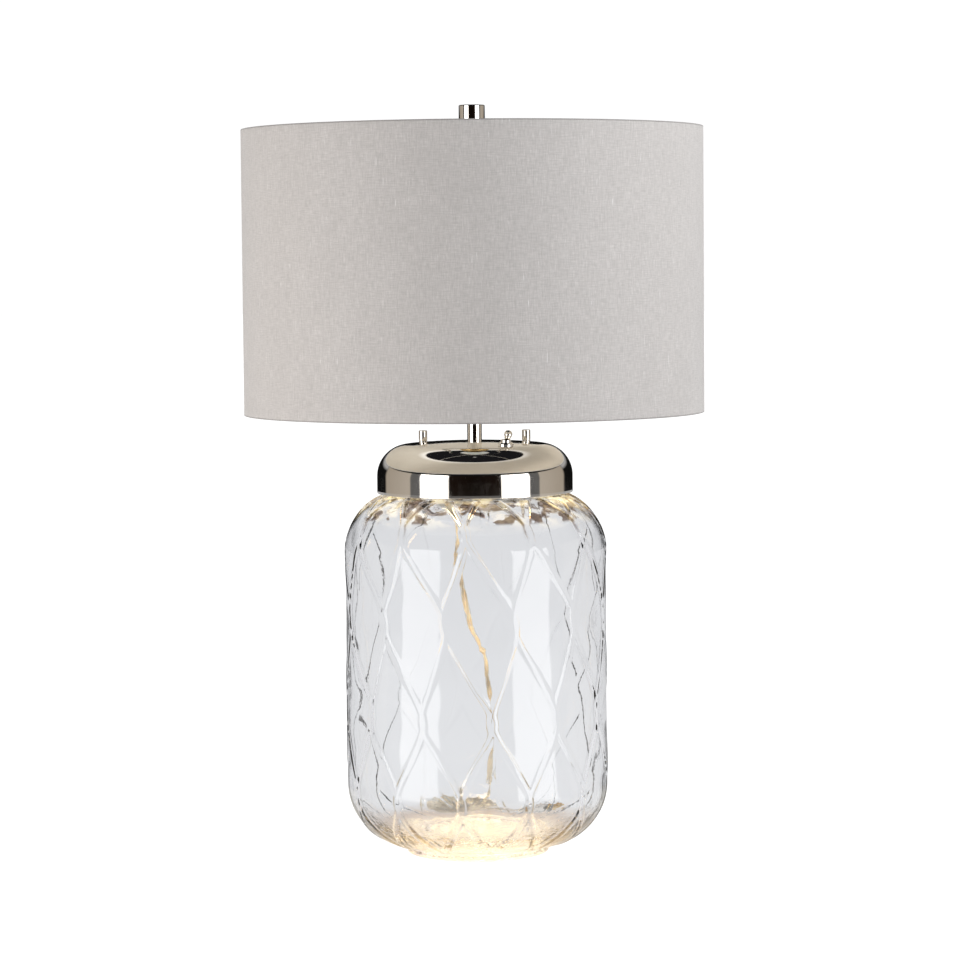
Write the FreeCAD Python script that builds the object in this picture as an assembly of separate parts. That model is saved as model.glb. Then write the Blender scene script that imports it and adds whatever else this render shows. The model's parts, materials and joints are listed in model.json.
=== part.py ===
import FreeCAD, Part
import math
import os

# Table lamp: a ribbed glass jar lit from its lid, under a nickel cap with a stem, and a drum shade.
# Millimetres. The origin is the centre of the foot on the floor, +Z is up and the front faces -Y.

Vector = FreeCAD.Vector
ORIGIN = Vector(0, 0, 0)
UP = Vector(0, 0, 1)

# ---- Clearances and stock ----
GAP = 0.3  # between two bodies that move against each other
NIP = 0.1  # between two curved faces of one body
WIRE_RADIUS = 0.9  # insulated inner wire
WIRE_STANDOFF = 1.4
SAME_POINT = 1e-6
FLAT_EDGE = 0.01  # rise of an edge that counts as level
CUT_REACH = 8.0  # each side of a thin sheet, for a hole through it

# ---- Glass jar ----
JAR_RADIUS = 116.0
JAR_WALL = 5.5
FOOT_RADIUS = 63.0
FOOT_INNER_RADIUS = 51.0
FOOT_HEIGHT = 6.0
FOOT_DRAFT = 1.0
PUSH_UP_Z = 10.0  # centre of the underside
HEEL_RADIUS = 56.0
INNER_HEEL_RADIUS = 46.0
JAR_FLOOR_Z = 16.0
SHOULDER_RADIUS = 54.0
SHOULDER_Z = 268.0
NECK_RADIUS = 80.0
NECK_BORE_RADIUS = 74.0
NECK_TOP_Z = 324.0

# ---- Inner lid, screwed on the neck ----
GASKET_HEIGHT = 1.5
LID_SHEET = 2.0
LID_RADIUS = 84.2
LID_SKIRT_Z = 319.6
LID_Z = NECK_TOP_Z + GASKET_HEIGHT  # underside of its top
LID_TOP_Z = LID_Z + LID_SHEET

# ---- Lamp unit in the neck ----
LED_RADIUS = 36.0
LED_BEZEL_RADIUS = 37.5
LED_BEZEL_Z = 311.5
LED_HOUSING_Z = 316.0
LED_LIP = 1.2  # of the bezel, which the lens rests on
LED_LENS_RADIUS = 32.5
LED_LENS_SHEET = 1.2
LED_BOARD_SHEET = 1.6
LED_CHIPS = 8
LED_CHIP_CIRCLE = 19.0
LED_CHIP_SIDE = 3.5
LED_CHIP_HEIGHT = 0.8
LED_SCREW_CIRCLE = 28.0
LED_SCREWS = 3
LED_SCREW_RADIUS = 1.6
LED_SCREW_HEAD_RADIUS = 3.0
LED_SCREW_HEAD_HEIGHT = 2.0
LED_SCREW_FOOT_Z = LED_HOUSING_Z + 3.0
LED_FIN_PITCH = 3.0
LED_FIN_DEPTH = 2.5
LED_FIN_GAP = 1.4
LED_WIRE_PLACES = [(-22.0, -24.0), (-18.0, -24.0)]
LED_POCKET_RADIUS = 11.0
LED_POCKET_Z = LED_HOUSING_Z + 2.0
LED_FINS = 3
DRIVER_SIZE = (44.0, 22.0, 14.0)
DRIVER_CENTRE = (-36.0, -32.0)
BLOCK_SIZE = (26.0, 14.0, 11.0)
BLOCK_CENTRE = (-8.0, 43.0)
DRIVER_EDGE = 1.5
BLOCK_WELL_RADIUS = 2.0
BLOCK_WELL_DEPTH = 3.0
BLOCK_WELL_PLACES = [(x, y) for x in (-8.0, 0.0, 8.0) for y in (-4.0, 4.0)]  # from the block's centre

# ---- Cap ----
CAP_RADIUS = 86.5
CAP_RIM_Z = 319.3
CAP_TOP_Z = 364.8
CAP_SHOULDER_RADIUS = 28.0
CAP_CROWN_RADIUS = 700.0
CAP_SHEET = 1.2
CROWN_CENTRE_Z = CAP_TOP_Z - CAP_CROWN_RADIUS
CAP_SHOULDER_R = CAP_RADIUS - CAP_SHOULDER_RADIUS
CROWN_TO_SHOULDER = CAP_CROWN_RADIUS - CAP_SHOULDER_RADIUS
CAP_SHOULDER_Z = CROWN_CENTRE_Z + math.sqrt(CROWN_TO_SHOULDER**2 - CAP_SHOULDER_R**2)
CROWN_EDGE_DEG = math.degrees(math.atan2(CAP_SHOULDER_Z - CROWN_CENTRE_Z, CAP_SHOULDER_R))

# ---- Thumb nuts that hold the cap to the inner lid ----
NUT_PLACES = {"left": (-46.0, 26.0), "right": (46.0, 26.0)}
NUT_RADIUS = 3.75
NUT_HEIGHT = 9.4
NUT_Z = 363.45
NUT_WALL_TOP = 1.2
NUT_CHAMFER = 0.3
NUT_WASHER_DEPTH = 2.0
STUD_RADIUS = 2.0
STUD_TOP_Z = 370.8
STUD_NUT_FLATS = 7.0
STUD_NUT_HEIGHT = 3.2

# ---- Toggle switch ----
TOGGLE_PLACE = (27.0, -50.0)
TOGGLE_THROW_DEG = 11.0  # each side of upright
TOGGLE_BODY = (26.0, 16.0, 13.0)
TOGGLE_BODY_DEPTH = 4.0  # below the cap's outer face
BUSHING_RADIUS = 4.6
BUSHING_BORE_RADIUS = 3.3
BUSHING_TOP = 5.6
BUSHING_FLANGE = (6.6, 1.2)  # radius and thickness
TOGGLE_WELL_DEPTH = 4.0
DRESS_NUT_RADIUS = 6.8
DRESS_NUT_HEIGHT = 3.4
DRESS_NUT_BEVEL = 1.2
LEVER_PIVOT = -0.5
LEVER_BALL = 10.6
LEVER_BALL_RADIUS = 3.6
LEVER_WAIST_RADIUS = 2.9
LEVER_TIP_RADIUS = 1.35
LEVER_TIP_REACH = 4.0  # of its plain tip, each side of the pin

# ---- Rod and stem ----
ROD_RADIUS = 4.75
ROD_BORE_RADIUS = 3.25
ROD_FOOT_Z = 319.5
ROD_TOP_Z = 413.0
ROD_NUT_FLATS = 14.0
ROD_NUT_HEIGHT = 4.0
ROD_WIRES = [(-1.3, 0.0), (1.3, 0.0)]
ROD_SLOT = (6.4, 331.0, 347.0)  # width, bottom and top of the side slot for the wires
STEM_RADIUS = 6.5
STEM_TOP_Z = 401.0

# ---- Harp ----
SADDLE_SHEET = 2.0
SADDLE_WIDTH = 12.0
TONGUE_WIDTH = 4.6
HARP_X = 34.0
TONGUE_Z = 414.0
HARP_FOOT_Z = 423.0
HARP_WIRE_RADIUS = 2.0
HARP_SWAGE_RADIUS = 2.6
HARP_SWAGE_HEIGHT = 8.0
HARP_HALF = [
    (34.0, 423.0),
    (34.2, 449.0),
    (46.0, 486.0),
    (55.0, 530.0),
    (52.0, 572.0),
    (38.0, 603.0),
    (14.0, 620.0),
]
SLEEVE_BORE_RADIUS = HARP_SWAGE_RADIUS + GAP
SLEEVE_RADIUS = 4.1
SLEEVE_SPAN = (TONGUE_Z + GAP, TONGUE_Z + GAP + 18.0)
HARP_PLATE_RADIUS = 10.0
HARP_PLATE_SHEET = 2.0
HARP_COLLAR_RADIUS = 6.0
HARP_COLLAR_DEPTH = 3.5  # below the wire's centre
HARP_TOP_Z = 626.0
HARP_STUD_RADIUS = 3.15
HARP_STUD_TOP_Z = 647.0

# ---- Lampholder and bulb ----
SOCKET_Z = 403.0
SOCKET_CAP_TOP_Z = 419.0
SOCKET_TOP_Z = 456.0
SOCKET_CAP_RADIUS = 17.0
SOCKET_SHEET = 0.7
SOCKET_BELLY_RADIUS = 11.0
SOCKET_SHELL_Z = 416.0
SOCKET_LINER_SPAN = (416.5, 455.0)
SOCKET_LINER_SHEET = 0.5
SCREW_SHELL_RADIUS = 13.8
SCREW_SHELL_SHEET = 0.5
SCREW_SHELL_TOP_Z = 454.0
CORE_RADIUS = 14.6
CORE_Z = 417.0
CORE_TOP_Z = 433.0
CORE_WIRE_TOP_Z = 423.0
CONTACT_TOP_Z = 437.0
CONTACT_RADIUS = 4.0
BULB_CAP_RADIUS = SCREW_SHELL_RADIUS - SCREW_SHELL_SHEET - GAP
BULB_CAP_SHEET = 0.6
BULB_CAP_TAPER = 5.0
BULB_TIP_RADIUS = 4.5
BULB_CAP_Z = 440.3
BULB_CAP_TOP_Z = 464.0
BULB_RADIUS = 30.0
BULB_TOP_Z = 545.0
BULB_SIDE_DEG = -30.0
BULB_NECK_RADIUS = 14.0
BULB_GLASS = 1.0

# ---- Shade ----
SHADE_RADIUS = 203.0
SHADE_HEIGHT = 250.0
SHADE_TOP_Z = 639.5
SHADE_Z = SHADE_TOP_Z - SHADE_HEIGHT
FABRIC_SHEET = 0.8
LINING_SHEET = 1.0
RING_WIRE_RADIUS = 1.5
RING_RADIUS = SHADE_RADIUS - FABRIC_SHEET - LINING_SHEET - RING_WIRE_RADIUS
HUB_SHEET = 2.0
HUB_RADIUS = 13.5
HUB_BORE_RADIUS = 3.55
ARM_DEGREES = (90, 210, 330)
ARM_KNEE_RADIUS = 186.0
ARM_LAP = 0.5  # into the ring's wire

# ---- Finial ----
FINIAL_RADIUS = 11.5
FINIAL_TOP_Z = 660.0
FINIAL_CHAMFER = 0.8
FINIAL_BORE_TOP_Z = 649.0

# ---- Cord ----
CORD_RADIUS = 2.5
ARC_SHARE = 0.45  # share of the shorter run that a corner's arc takes
GLAND_DEG = 98.0
GLAND_Z = 335.5
GLAND_THREAD_RADIUS = 4.4
GLAND_THREAD_LENGTH = 7.0
GLAND_NUT_SPAN = (-6.5, -4.0)  # along the gland, from the cap's outer face
GLAND_NUT_RADIUS = 6.2
GLAND_COLLAR_RADIUS = 6.6
GLAND_COLLAR_R = 89.0
BOOT_LENGTH = 24.0
BOOT_DROP_DEG = 30.0
BOOT_RADIUS = 5.2
BOOT_TIP_RADIUS = 3.2
CORD_DROP = [
    (-17.2, 123.0, 313.7),
    (-18.2, 132.4, 297.3),
    (-14.5, 133.5, 266.0),
    (-17.5, 131.5, 229.0),
    (-9.0, 130.5, 190.0),
    (8.0, 130.0, 158.0),
    (12.0, 129.0, 119.0),
    (11.5, 128.2, 80.0),
    (12.5, 128.6, 47.0),
    (13.0, 134.6, 31.5),
    (12.0, 145.8, 20.6),
    (5.4, 157.6, 14.9),
]
COIL_CENTRE = (-14.0, 140.0)
COIL_RADII = (19.8, 37.7)
COIL_SPAN = (0.8, 14.6)
COIL_EDGE = 2.4
CORD_TAIL = [(-14.0, 105.0, 3.3), (1.0, 104.8, 3.5), (15.0, 105.2, 5.2), (28.0, 105.0, 6.5)]
TIE_WIDTH = 7.0
TIE_SHEET = 0.8

# ---- Plug ----
PLUG_WIDTH = 23.0
PLUG_HEIGHT = 13.0
PLUG_BOOT_LENGTH = 15.0
PLUG_BOOT_RADIUS = 5.0
PLUG_BODY_LENGTH = 27.0
PLUG_EDGE = 3.0
BLADE_LENGTH = 16.0
BLADE_WIDTH = 6.3
BLADE_SHEET = 1.5
BLADE_SPACING = 12.7
BLADE_ROOT = 8.0  # inside the body

# ---- Inner wires ----
SOCKET_WIRE_SPREAD = 2.5
SOCKET_WIRE_ENTRY_Z = 334.0
SOCKET_WIRE_KNEE = (-1.0, 13.0, 334.5)  # the first is from the wire's place in the rod
ROD_WIRE_STOPS = [(0.0, 338.5), (0.02, 372.0)]  # sideways and height
SUPPLY_WIRE_OFFSET = 1.2
SUPPLY_WIRE_KNEE = (-0.5, -12.0, 334.5)
SUPPLY_WIRE_END_Z = 333.0
SWITCH_WIRE_OFFSET = 1.3
SWITCH_WIRE_START = (41.0, 331.0)
SWITCH_WIRE_ACROSS = [(16.0, 38.0, 331.0), (26.0, 6.0, 331.5)]
SWITCH_WIRE_RISE = [(26.0, -34.0, 334.0), (24.0, -48.0, 343.5)]


def revolved(start, *steps):
    """Solid turned about Z. A step is the next (radius, height), or a pair of them for an arc."""
    edges = []
    here = Vector(start[0], 0, start[1])
    for step in (*steps, start):
        pairs = step if isinstance(step[0], tuple) else (step,)
        stops = [Vector(r, 0, z) for r, z in pairs]
        if here.distanceToPoint(stops[-1]) < SAME_POINT:
            continue
        curve = Part.Arc(here, *stops) if len(stops) == 2 else Part.LineSegment(here, stops[0])
        edges.append(curve.toShape())
        here = stops[-1]
    return Part.Face(Part.Wire(edges)).revolve(ORIGIN, UP, 360)


def arc_step(centre, radius, start_deg, end_deg):
    """The step that follows a circle from one angle to another, measured from +radius towards +Z."""
    turns = [math.radians(a) for a in ((start_deg + end_deg) / 2, end_deg)]
    return tuple((centre[0] + radius * math.cos(a), centre[1] + radius * math.sin(a)) for a in turns)


def cylinder(radius, low, high, place=(0, 0)):
    return Part.makeCylinder(radius, high - low, Vector(*place, low), UP)


def ring(inner, outer, low, high, place=(0, 0)):
    return cylinder(outer, low, high, place).cut(cylinder(inner, low, high, place))


def block(size, centre, low):
    corner = Vector(centre[0] - size[0] / 2, centre[1] - size[1] / 2, low)
    return Part.makeBox(*size, corner)


def hex_nut(flats, bore, low, high, place=(0, 0)):
    corner = flats / math.sqrt(3)
    turns = [math.radians(60 * i) for i in range(7)]
    x, y = place
    points = [Vector(x + corner * math.cos(a), y + corner * math.sin(a), low) for a in turns]
    prism = Part.Face(Part.makePolygon(points)).extrude(Vector(0, 0, high - low))
    return prism.cut(cylinder(bore, low, high, place))


def around(radius, degrees):
    return (radius * math.cos(math.radians(degrees)), radius * math.sin(math.radians(degrees)))


def corner_arc(before, at, after):
    """A corner's tangent arc, as its first, middle and last points and its radius."""
    into = (at - before).normalize()
    out = (after - at).normalize()
    half_turn = into.getAngle(out) / 2
    share = ARC_SHARE * min((at - before).Length, (after - at).Length)
    radius = share / math.tan(half_turn)
    inward = (out - into).normalize()
    centre = at + inward * (radius / math.cos(half_turn))
    return at - into * share, centre - inward * radius, at + out * share, radius


def tube_along(points, radius):
    """Round tube along straight runs joined by tangent arcs, and the radii of those arcs."""
    points = [Vector(*p) for p in points]
    edges = []
    radii = []
    here = points[0]
    for before, at, after in zip(points, points[1:], points[2:]):
        first, middle, last, bend = corner_arc(before, at, after)
        edges.append(Part.LineSegment(here, first).toShape())
        edges.append(Part.Arc(first, middle, last).toShape())
        radii.append(bend)
        here = last
    edges.append(Part.LineSegment(here, points[-1]).toShape())
    section = Part.Wire(Part.makeCircle(radius, points[0], points[1] - points[0]))
    tube = Part.Wire(edges).makePipeShell([section], True, False)
    return tube, radii


def group(solids):
    """Identical separate pieces that share one node."""
    return Part.makeCompound(solids)


# ---- Jar and what closes it ----
def glass_jar():
    heel_z = FOOT_HEIGHT + HEEL_RADIUS
    heel_r = JAR_RADIUS - HEEL_RADIUS
    shoulder_r = JAR_RADIUS - SHOULDER_RADIUS
    inner_r = JAR_RADIUS - JAR_WALL
    inner_shoulder = SHOULDER_RADIUS - JAR_WALL
    neck_deg = math.degrees(math.acos((NECK_RADIUS - shoulder_r) / SHOULDER_RADIUS))
    bore_deg = math.degrees(math.acos((NECK_BORE_RADIUS - shoulder_r) / inner_shoulder))
    inner_heel = (inner_r - INNER_HEEL_RADIUS, JAR_FLOOR_Z + INNER_HEEL_RADIUS)
    foot_angle = -math.acos((FOOT_RADIUS - heel_r) / HEEL_RADIUS)
    return revolved(
        (0.0, PUSH_UP_Z),
        (FOOT_INNER_RADIUS - FOOT_DRAFT, FOOT_HEIGHT),
        (FOOT_INNER_RADIUS + FOOT_DRAFT, 0.0),
        (FOOT_RADIUS - FOOT_DRAFT, 0.0),
        (FOOT_RADIUS, heel_z + HEEL_RADIUS * math.sin(foot_angle)),
        arc_step((heel_r, heel_z), HEEL_RADIUS, math.degrees(foot_angle), 0),
        (JAR_RADIUS, SHOULDER_Z),
        arc_step((shoulder_r, SHOULDER_Z), SHOULDER_RADIUS, 0, neck_deg),
        (NECK_RADIUS, NECK_TOP_Z),
        (NECK_BORE_RADIUS, NECK_TOP_Z),
        arc_step((shoulder_r, SHOULDER_Z), inner_shoulder, bore_deg, bore_deg)[1],
        arc_step((shoulder_r, SHOULDER_Z), inner_shoulder, bore_deg, 0),
        (inner_r, inner_heel[1]),
        arc_step(inner_heel, INNER_HEEL_RADIUS, 0, -90),
        (0.0, JAR_FLOOR_Z),
    )


def neck_liner():
    skirt_inner = LID_RADIUS - LID_SHEET
    return ring(NECK_RADIUS + NIP, skirt_inner - NIP, LID_SKIRT_Z, NECK_TOP_Z)


def neck_gasket():
    return ring(NECK_BORE_RADIUS, NECK_RADIUS, NECK_TOP_Z, LID_Z)


def lid_holes():
    """Holes through the inner lid for the rod, the studs, the lamp unit's screws and its wires."""
    holes = [cylinder(ROD_RADIUS + NIP, LID_Z, LID_TOP_Z)]
    holes += [cylinder(STUD_RADIUS + NIP, LID_Z, LID_TOP_Z, place) for place in NUT_PLACES.values()]
    holes += [cylinder(LED_SCREW_RADIUS + NIP, LID_Z, LID_TOP_Z, place) for place in led_screw_places()]
    holes += [cylinder(WIRE_RADIUS + NIP, LID_Z, LID_TOP_Z, place) for place in LED_WIRE_PLACES]
    return holes


def inner_lid():
    skirt_inner = LID_RADIUS - LID_SHEET
    pan = revolved(
        (0.0, LID_Z),
        (skirt_inner, LID_Z),
        (skirt_inner, LID_SKIRT_Z),
        (LID_RADIUS, LID_SKIRT_Z),
        (LID_RADIUS, LID_TOP_Z),
        (0.0, LID_TOP_Z),
    )
    return pan.cut(lid_holes())


# ---- Lamp unit that lights the jar ----
def led_screw_places():
    return [around(LED_SCREW_CIRCLE, 90 + 120 * i) for i in range(LED_SCREWS)]


def led_housing():
    body = cylinder(LED_RADIUS, LED_HOUSING_Z, LID_Z)
    pocket = cylinder(LED_POCKET_RADIUS, LED_POCKET_Z, LID_Z)
    grooves = [
        ring(LED_RADIUS - LED_FIN_DEPTH, LED_RADIUS, z, z + LED_FIN_GAP)
        for z in (LED_HOUSING_Z + LED_FIN_PITCH * (i + 1) - LED_FIN_GAP for i in range(LED_FINS))
    ]
    screws = [cylinder(LED_SCREW_RADIUS + NIP, LED_SCREW_FOOT_Z, LID_Z, p) for p in led_screw_places()]
    wires = [cylinder(WIRE_RADIUS + NIP, LED_HOUSING_Z, LID_Z, p) for p in LED_WIRE_PLACES]
    return body.cut([pocket, *grooves, *screws, *wires])


def led_screws():
    def screw(place):
        head_top = LID_TOP_Z + LED_SCREW_HEAD_HEIGHT
        shank = cylinder(LED_SCREW_RADIUS, LED_SCREW_FOOT_Z, LID_TOP_Z, place)
        return shank.fuse(cylinder(LED_SCREW_HEAD_RADIUS, LID_TOP_Z, head_top, place))

    return group([screw(place) for place in led_screw_places()])


def led_board():
    return cylinder(LED_LENS_RADIUS, LED_HOUSING_Z - LED_BOARD_SHEET, LED_HOUSING_Z)


def led_chips():
    top = LED_HOUSING_Z - LED_BOARD_SHEET
    places = [around(LED_CHIP_CIRCLE, 360 / LED_CHIPS * i) for i in range(LED_CHIPS)]
    size = (LED_CHIP_SIDE, LED_CHIP_SIDE, LED_CHIP_HEIGHT)
    return group([block(size, place, top - LED_CHIP_HEIGHT) for place in places])


def led_bezel():
    return revolved(
        (LED_LENS_RADIUS - LED_LIP, LED_BEZEL_Z),
        (LED_BEZEL_RADIUS - LED_LIP, LED_BEZEL_Z),
        (LED_BEZEL_RADIUS, LED_BEZEL_Z + LED_LIP),
        (LED_BEZEL_RADIUS, LED_HOUSING_Z),
        (LED_LENS_RADIUS, LED_HOUSING_Z),
        (LED_LENS_RADIUS, LED_BEZEL_Z + LED_LIP / 2),
        (LED_LENS_RADIUS - LED_LIP, LED_BEZEL_Z + LED_LIP / 2),
    )


def led_lens():
    low = LED_BEZEL_Z + LED_LIP / 2
    return cylinder(LED_LENS_RADIUS - NIP, low, low + LED_LENS_SHEET)


def led_driver():
    driver = block(DRIVER_SIZE, DRIVER_CENTRE, LID_TOP_Z)
    return driver.makeFillet(DRIVER_EDGE, [e for e in driver.Edges if e.BoundBox.ZLength > FLAT_EDGE])


def terminal_block():
    body = block(BLOCK_SIZE, BLOCK_CENTRE, LID_TOP_Z)
    top = LID_TOP_Z + BLOCK_SIZE[2]
    places = [(BLOCK_CENTRE[0] + x, BLOCK_CENTRE[1] + y) for x, y in BLOCK_WELL_PLACES]
    wells = [cylinder(BLOCK_WELL_RADIUS, top - BLOCK_WELL_DEPTH, top, place) for place in places]
    return body.cut(wells)


# ---- Cap and the nuts that hold it ----
def cap_form(inset, rim_z):
    """The cap's outer form as one solid, drawn in by an inset."""
    centre = (CAP_SHOULDER_R, CAP_SHOULDER_Z)
    return revolved(
        (0.0, rim_z),
        (CAP_RADIUS - inset, rim_z),
        (CAP_RADIUS - inset, CAP_SHOULDER_Z),
        arc_step(centre, CAP_SHOULDER_RADIUS - inset, 0, CROWN_EDGE_DEG),
        arc_step((0.0, CROWN_CENTRE_Z), CAP_CROWN_RADIUS - inset, CROWN_EDGE_DEG, 90),
    )


def crown_z(place):
    return CROWN_CENTRE_Z + math.sqrt(CAP_CROWN_RADIUS**2 - place[0] ** 2 - place[1] ** 2)


def cap_dome():
    shell = cap_form(0.0, CAP_RIM_Z).cut(cap_form(CAP_SHEET, CAP_RIM_Z - CUT_REACH))
    low = CAP_SHOULDER_Z
    high = CAP_TOP_Z + CUT_REACH
    holes = [cylinder(ROD_RADIUS + NIP, low, high)]
    holes += [cylinder(STUD_RADIUS + NIP, low, high, place) for place in NUT_PLACES.values()]
    holes.append(on_toggle(cylinder(BUSHING_RADIUS + NIP, -CUT_REACH, CUT_REACH)))
    holes.append(on_gland(cylinder(GLAND_THREAD_RADIUS + NIP, -CUT_REACH, CUT_REACH)))
    return shell.cut(holes)


def cap_studs():
    return group([cylinder(STUD_RADIUS, LID_Z, STUD_TOP_Z, place) for place in NUT_PLACES.values()])


def stud_nuts():
    top = LID_TOP_Z + STUD_NUT_HEIGHT
    places = NUT_PLACES.values()
    return group([hex_nut(STUD_NUT_FLATS, STUD_RADIUS, LID_TOP_Z, top, place) for place in places])


def stud_washers():
    """Thin washers whose undersides follow the crown, so that the thumb nuts sit level."""
    crown = cap_form(0.0, CAP_RIM_Z)
    top = NUT_Z - GAP
    low = top - NUT_WASHER_DEPTH
    rings = [ring(STUD_RADIUS + NIP, NUT_RADIUS, low, top, place) for place in NUT_PLACES.values()]
    return group([washer.cut(crown) for washer in rings])


def thumb_nut(side):
    place = NUT_PLACES[side]
    barrel = cylinder(NUT_RADIUS, NUT_Z, NUT_Z + NUT_HEIGHT, place)
    rims = [e for e in barrel.Edges if e.BoundBox.ZLength < FLAT_EDGE]
    bore = cylinder(STUD_RADIUS + GAP, NUT_Z, NUT_Z + NUT_HEIGHT - NUT_WALL_TOP, place)
    return barrel.makeChamfer(NUT_CHAMFER, rims).cut(bore)


# ---- Toggle switch, square to the crown ----
def on_toggle(shape, tilt_deg=0.0):
    """Moves a shape drawn about the Z axis to the switch, tilted about the lever's pin."""
    x, y = TOGGLE_PLACE
    base = Vector(x, y, crown_z(TOGGLE_PLACE))
    normal = (base - Vector(0, 0, CROWN_CENTRE_Z)).normalize()
    throw = UP.cross(Vector(x, y, 0)).normalize()
    pin = normal.cross(throw)
    frame = FreeCAD.Placement(base, FreeCAD.Rotation(throw, pin, normal, "ZXY"))
    pivot = Vector(0, 0, LEVER_PIVOT)
    tilt = FreeCAD.Placement(ORIGIN, FreeCAD.Rotation(Vector(0, 1, 0), tilt_deg), pivot)
    moved = shape.copy()
    moved.Placement = frame.multiply(tilt)
    return moved


def toggle_body():
    top = -TOGGLE_BODY_DEPTH
    body = block(TOGGLE_BODY, (0, 0), top - TOGGLE_BODY[2])
    well = cylinder(BUSHING_BORE_RADIUS, top - TOGGLE_WELL_DEPTH, top)
    return on_toggle(body.cut(well))


def toggle_bushing():
    low = -TOGGLE_BODY_DEPTH
    flange_radius, flange_sheet = BUSHING_FLANGE
    flange = ring(BUSHING_BORE_RADIUS, flange_radius, low, low + flange_sheet)
    barrel = ring(BUSHING_BORE_RADIUS, BUSHING_RADIUS, low, BUSHING_TOP)
    return on_toggle(flange.fuse(barrel).removeSplitter())


def toggle_nut():
    nut = revolved(
        (BUSHING_RADIUS, NIP),
        (DRESS_NUT_RADIUS, NIP),
        (DRESS_NUT_RADIUS, DRESS_NUT_HEIGHT - DRESS_NUT_BEVEL),
        (DRESS_NUT_RADIUS - DRESS_NUT_BEVEL, DRESS_NUT_HEIGHT),
        (BUSHING_RADIUS, DRESS_NUT_HEIGHT),
    )
    return on_toggle(nut)


def toggle_lever():
    """Bat lever: a ball on a tapering neck, tilted to the right-hand stop."""
    join = math.acos(LEVER_WAIST_RADIUS / LEVER_BALL_RADIUS)
    join_z = LEVER_BALL - LEVER_BALL_RADIUS * math.sin(join)
    lever = revolved(
        (0.0, LEVER_PIVOT - LEVER_TIP_REACH),
        (LEVER_TIP_RADIUS, LEVER_PIVOT - LEVER_TIP_REACH),
        (LEVER_TIP_RADIUS, LEVER_PIVOT + LEVER_TIP_REACH),
        (LEVER_WAIST_RADIUS, join_z),
        arc_step((0.0, LEVER_BALL), LEVER_BALL_RADIUS, -math.degrees(join), 90),
    )
    return on_toggle(lever, TOGGLE_THROW_DEG)


# ---- Rod, stem and harp ----
def lamp_rod():
    width, low, high = ROD_SLOT
    slot = Part.makeBox(width, ROD_RADIUS + NIP, high - low, Vector(-width / 2, 0, low))
    return ring(ROD_BORE_RADIUS, ROD_RADIUS, ROD_FOOT_Z, ROD_TOP_Z).cut(slot)


def stem_tube():
    tube = ring(ROD_RADIUS + NIP, STEM_RADIUS, CAP_SHOULDER_Z, STEM_TOP_Z)
    return tube.cut(cap_form(0.0, CAP_RIM_Z))


def harp_saddle():
    low = STEM_TOP_Z
    outer = HARP_X + SADDLE_SHEET / 2
    plan = (2 * outer, SADDLE_WIDTH)
    trough = block((*plan, TONGUE_Z - low), (0, 0), low)
    hollow = block((plan[0] - 2 * SADDLE_SHEET, plan[1], TONGUE_Z - low), (0, 0), low + SADDLE_SHEET)
    tongues = [
        block((SADDLE_SHEET, TONGUE_WIDTH, HARP_FOOT_Z - TONGUE_Z), (side * HARP_X, 0), TONGUE_Z)
        for side in (-1, 1)
    ]
    bore = cylinder(ROD_RADIUS + NIP, low, low + SADDLE_SHEET)
    return trough.cut(hollow).cut(bore).fuse(tongues).removeSplitter()


def harp_bow():
    half = [(x, 0.0, z) for x, z in HARP_HALF]
    other = [(-x, 0.0, z) for x, z in reversed(HARP_HALF)]
    wire, _ = tube_along(half + other, HARP_WIRE_RADIUS)
    swages = [
        cylinder(HARP_SWAGE_RADIUS, HARP_FOOT_Z, HARP_FOOT_Z + HARP_SWAGE_HEIGHT, (side * HARP_X, 0))
        for side in (-1, 1)
    ]
    return wire.fuse(swages)


def harp_stud():
    plate = cylinder(HARP_PLATE_RADIUS, HARP_TOP_Z - HARP_PLATE_SHEET, HARP_TOP_Z)
    collar_z = HARP_HALF[-1][1] - HARP_COLLAR_DEPTH
    collar = cylinder(HARP_COLLAR_RADIUS, collar_z, HARP_TOP_Z - HARP_PLATE_SHEET)
    stud = cylinder(HARP_STUD_RADIUS, HARP_TOP_Z, HARP_STUD_TOP_Z)
    return plate.fuse([collar, stud]).removeSplitter().cut(harp_bow())


def harp_sleeve(side):
    return ring(SLEEVE_BORE_RADIUS, SLEEVE_RADIUS, *SLEEVE_SPAN, (side * HARP_X, 0))


# ---- Lampholder ----
def socket_cap():
    belly = (SOCKET_CAP_RADIUS - SOCKET_BELLY_RADIUS, SOCKET_Z + SOCKET_BELLY_RADIUS)
    inner = SOCKET_CAP_RADIUS - SOCKET_SHEET
    return revolved(
        (ROD_RADIUS + NIP, SOCKET_Z),
        (belly[0], SOCKET_Z),
        arc_step(belly, SOCKET_BELLY_RADIUS, -90, 0),
        (SOCKET_CAP_RADIUS, SOCKET_CAP_TOP_Z),
        (inner, SOCKET_CAP_TOP_Z),
        (inner, belly[1]),
        arc_step(belly, SOCKET_BELLY_RADIUS - SOCKET_SHEET, 0, -90),
        (ROD_RADIUS + NIP, SOCKET_Z + SOCKET_SHEET),
    )


def socket_shell():
    outer = SOCKET_CAP_RADIUS - SOCKET_SHEET - NIP
    return ring(outer - SOCKET_SHEET, outer, SOCKET_SHELL_Z, SOCKET_TOP_Z)


def socket_liner():
    outer = SOCKET_CAP_RADIUS - 2 * SOCKET_SHEET - 2 * NIP
    return ring(outer - SOCKET_LINER_SHEET, outer, *SOCKET_LINER_SPAN)


def socket_core():
    body = cylinder(CORE_RADIUS, CORE_Z, CORE_TOP_Z)
    wires = [cylinder(WIRE_RADIUS + NIP, CORE_Z, CORE_WIRE_TOP_Z, place) for place in ROD_WIRES]
    return body.cut(wires)


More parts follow.
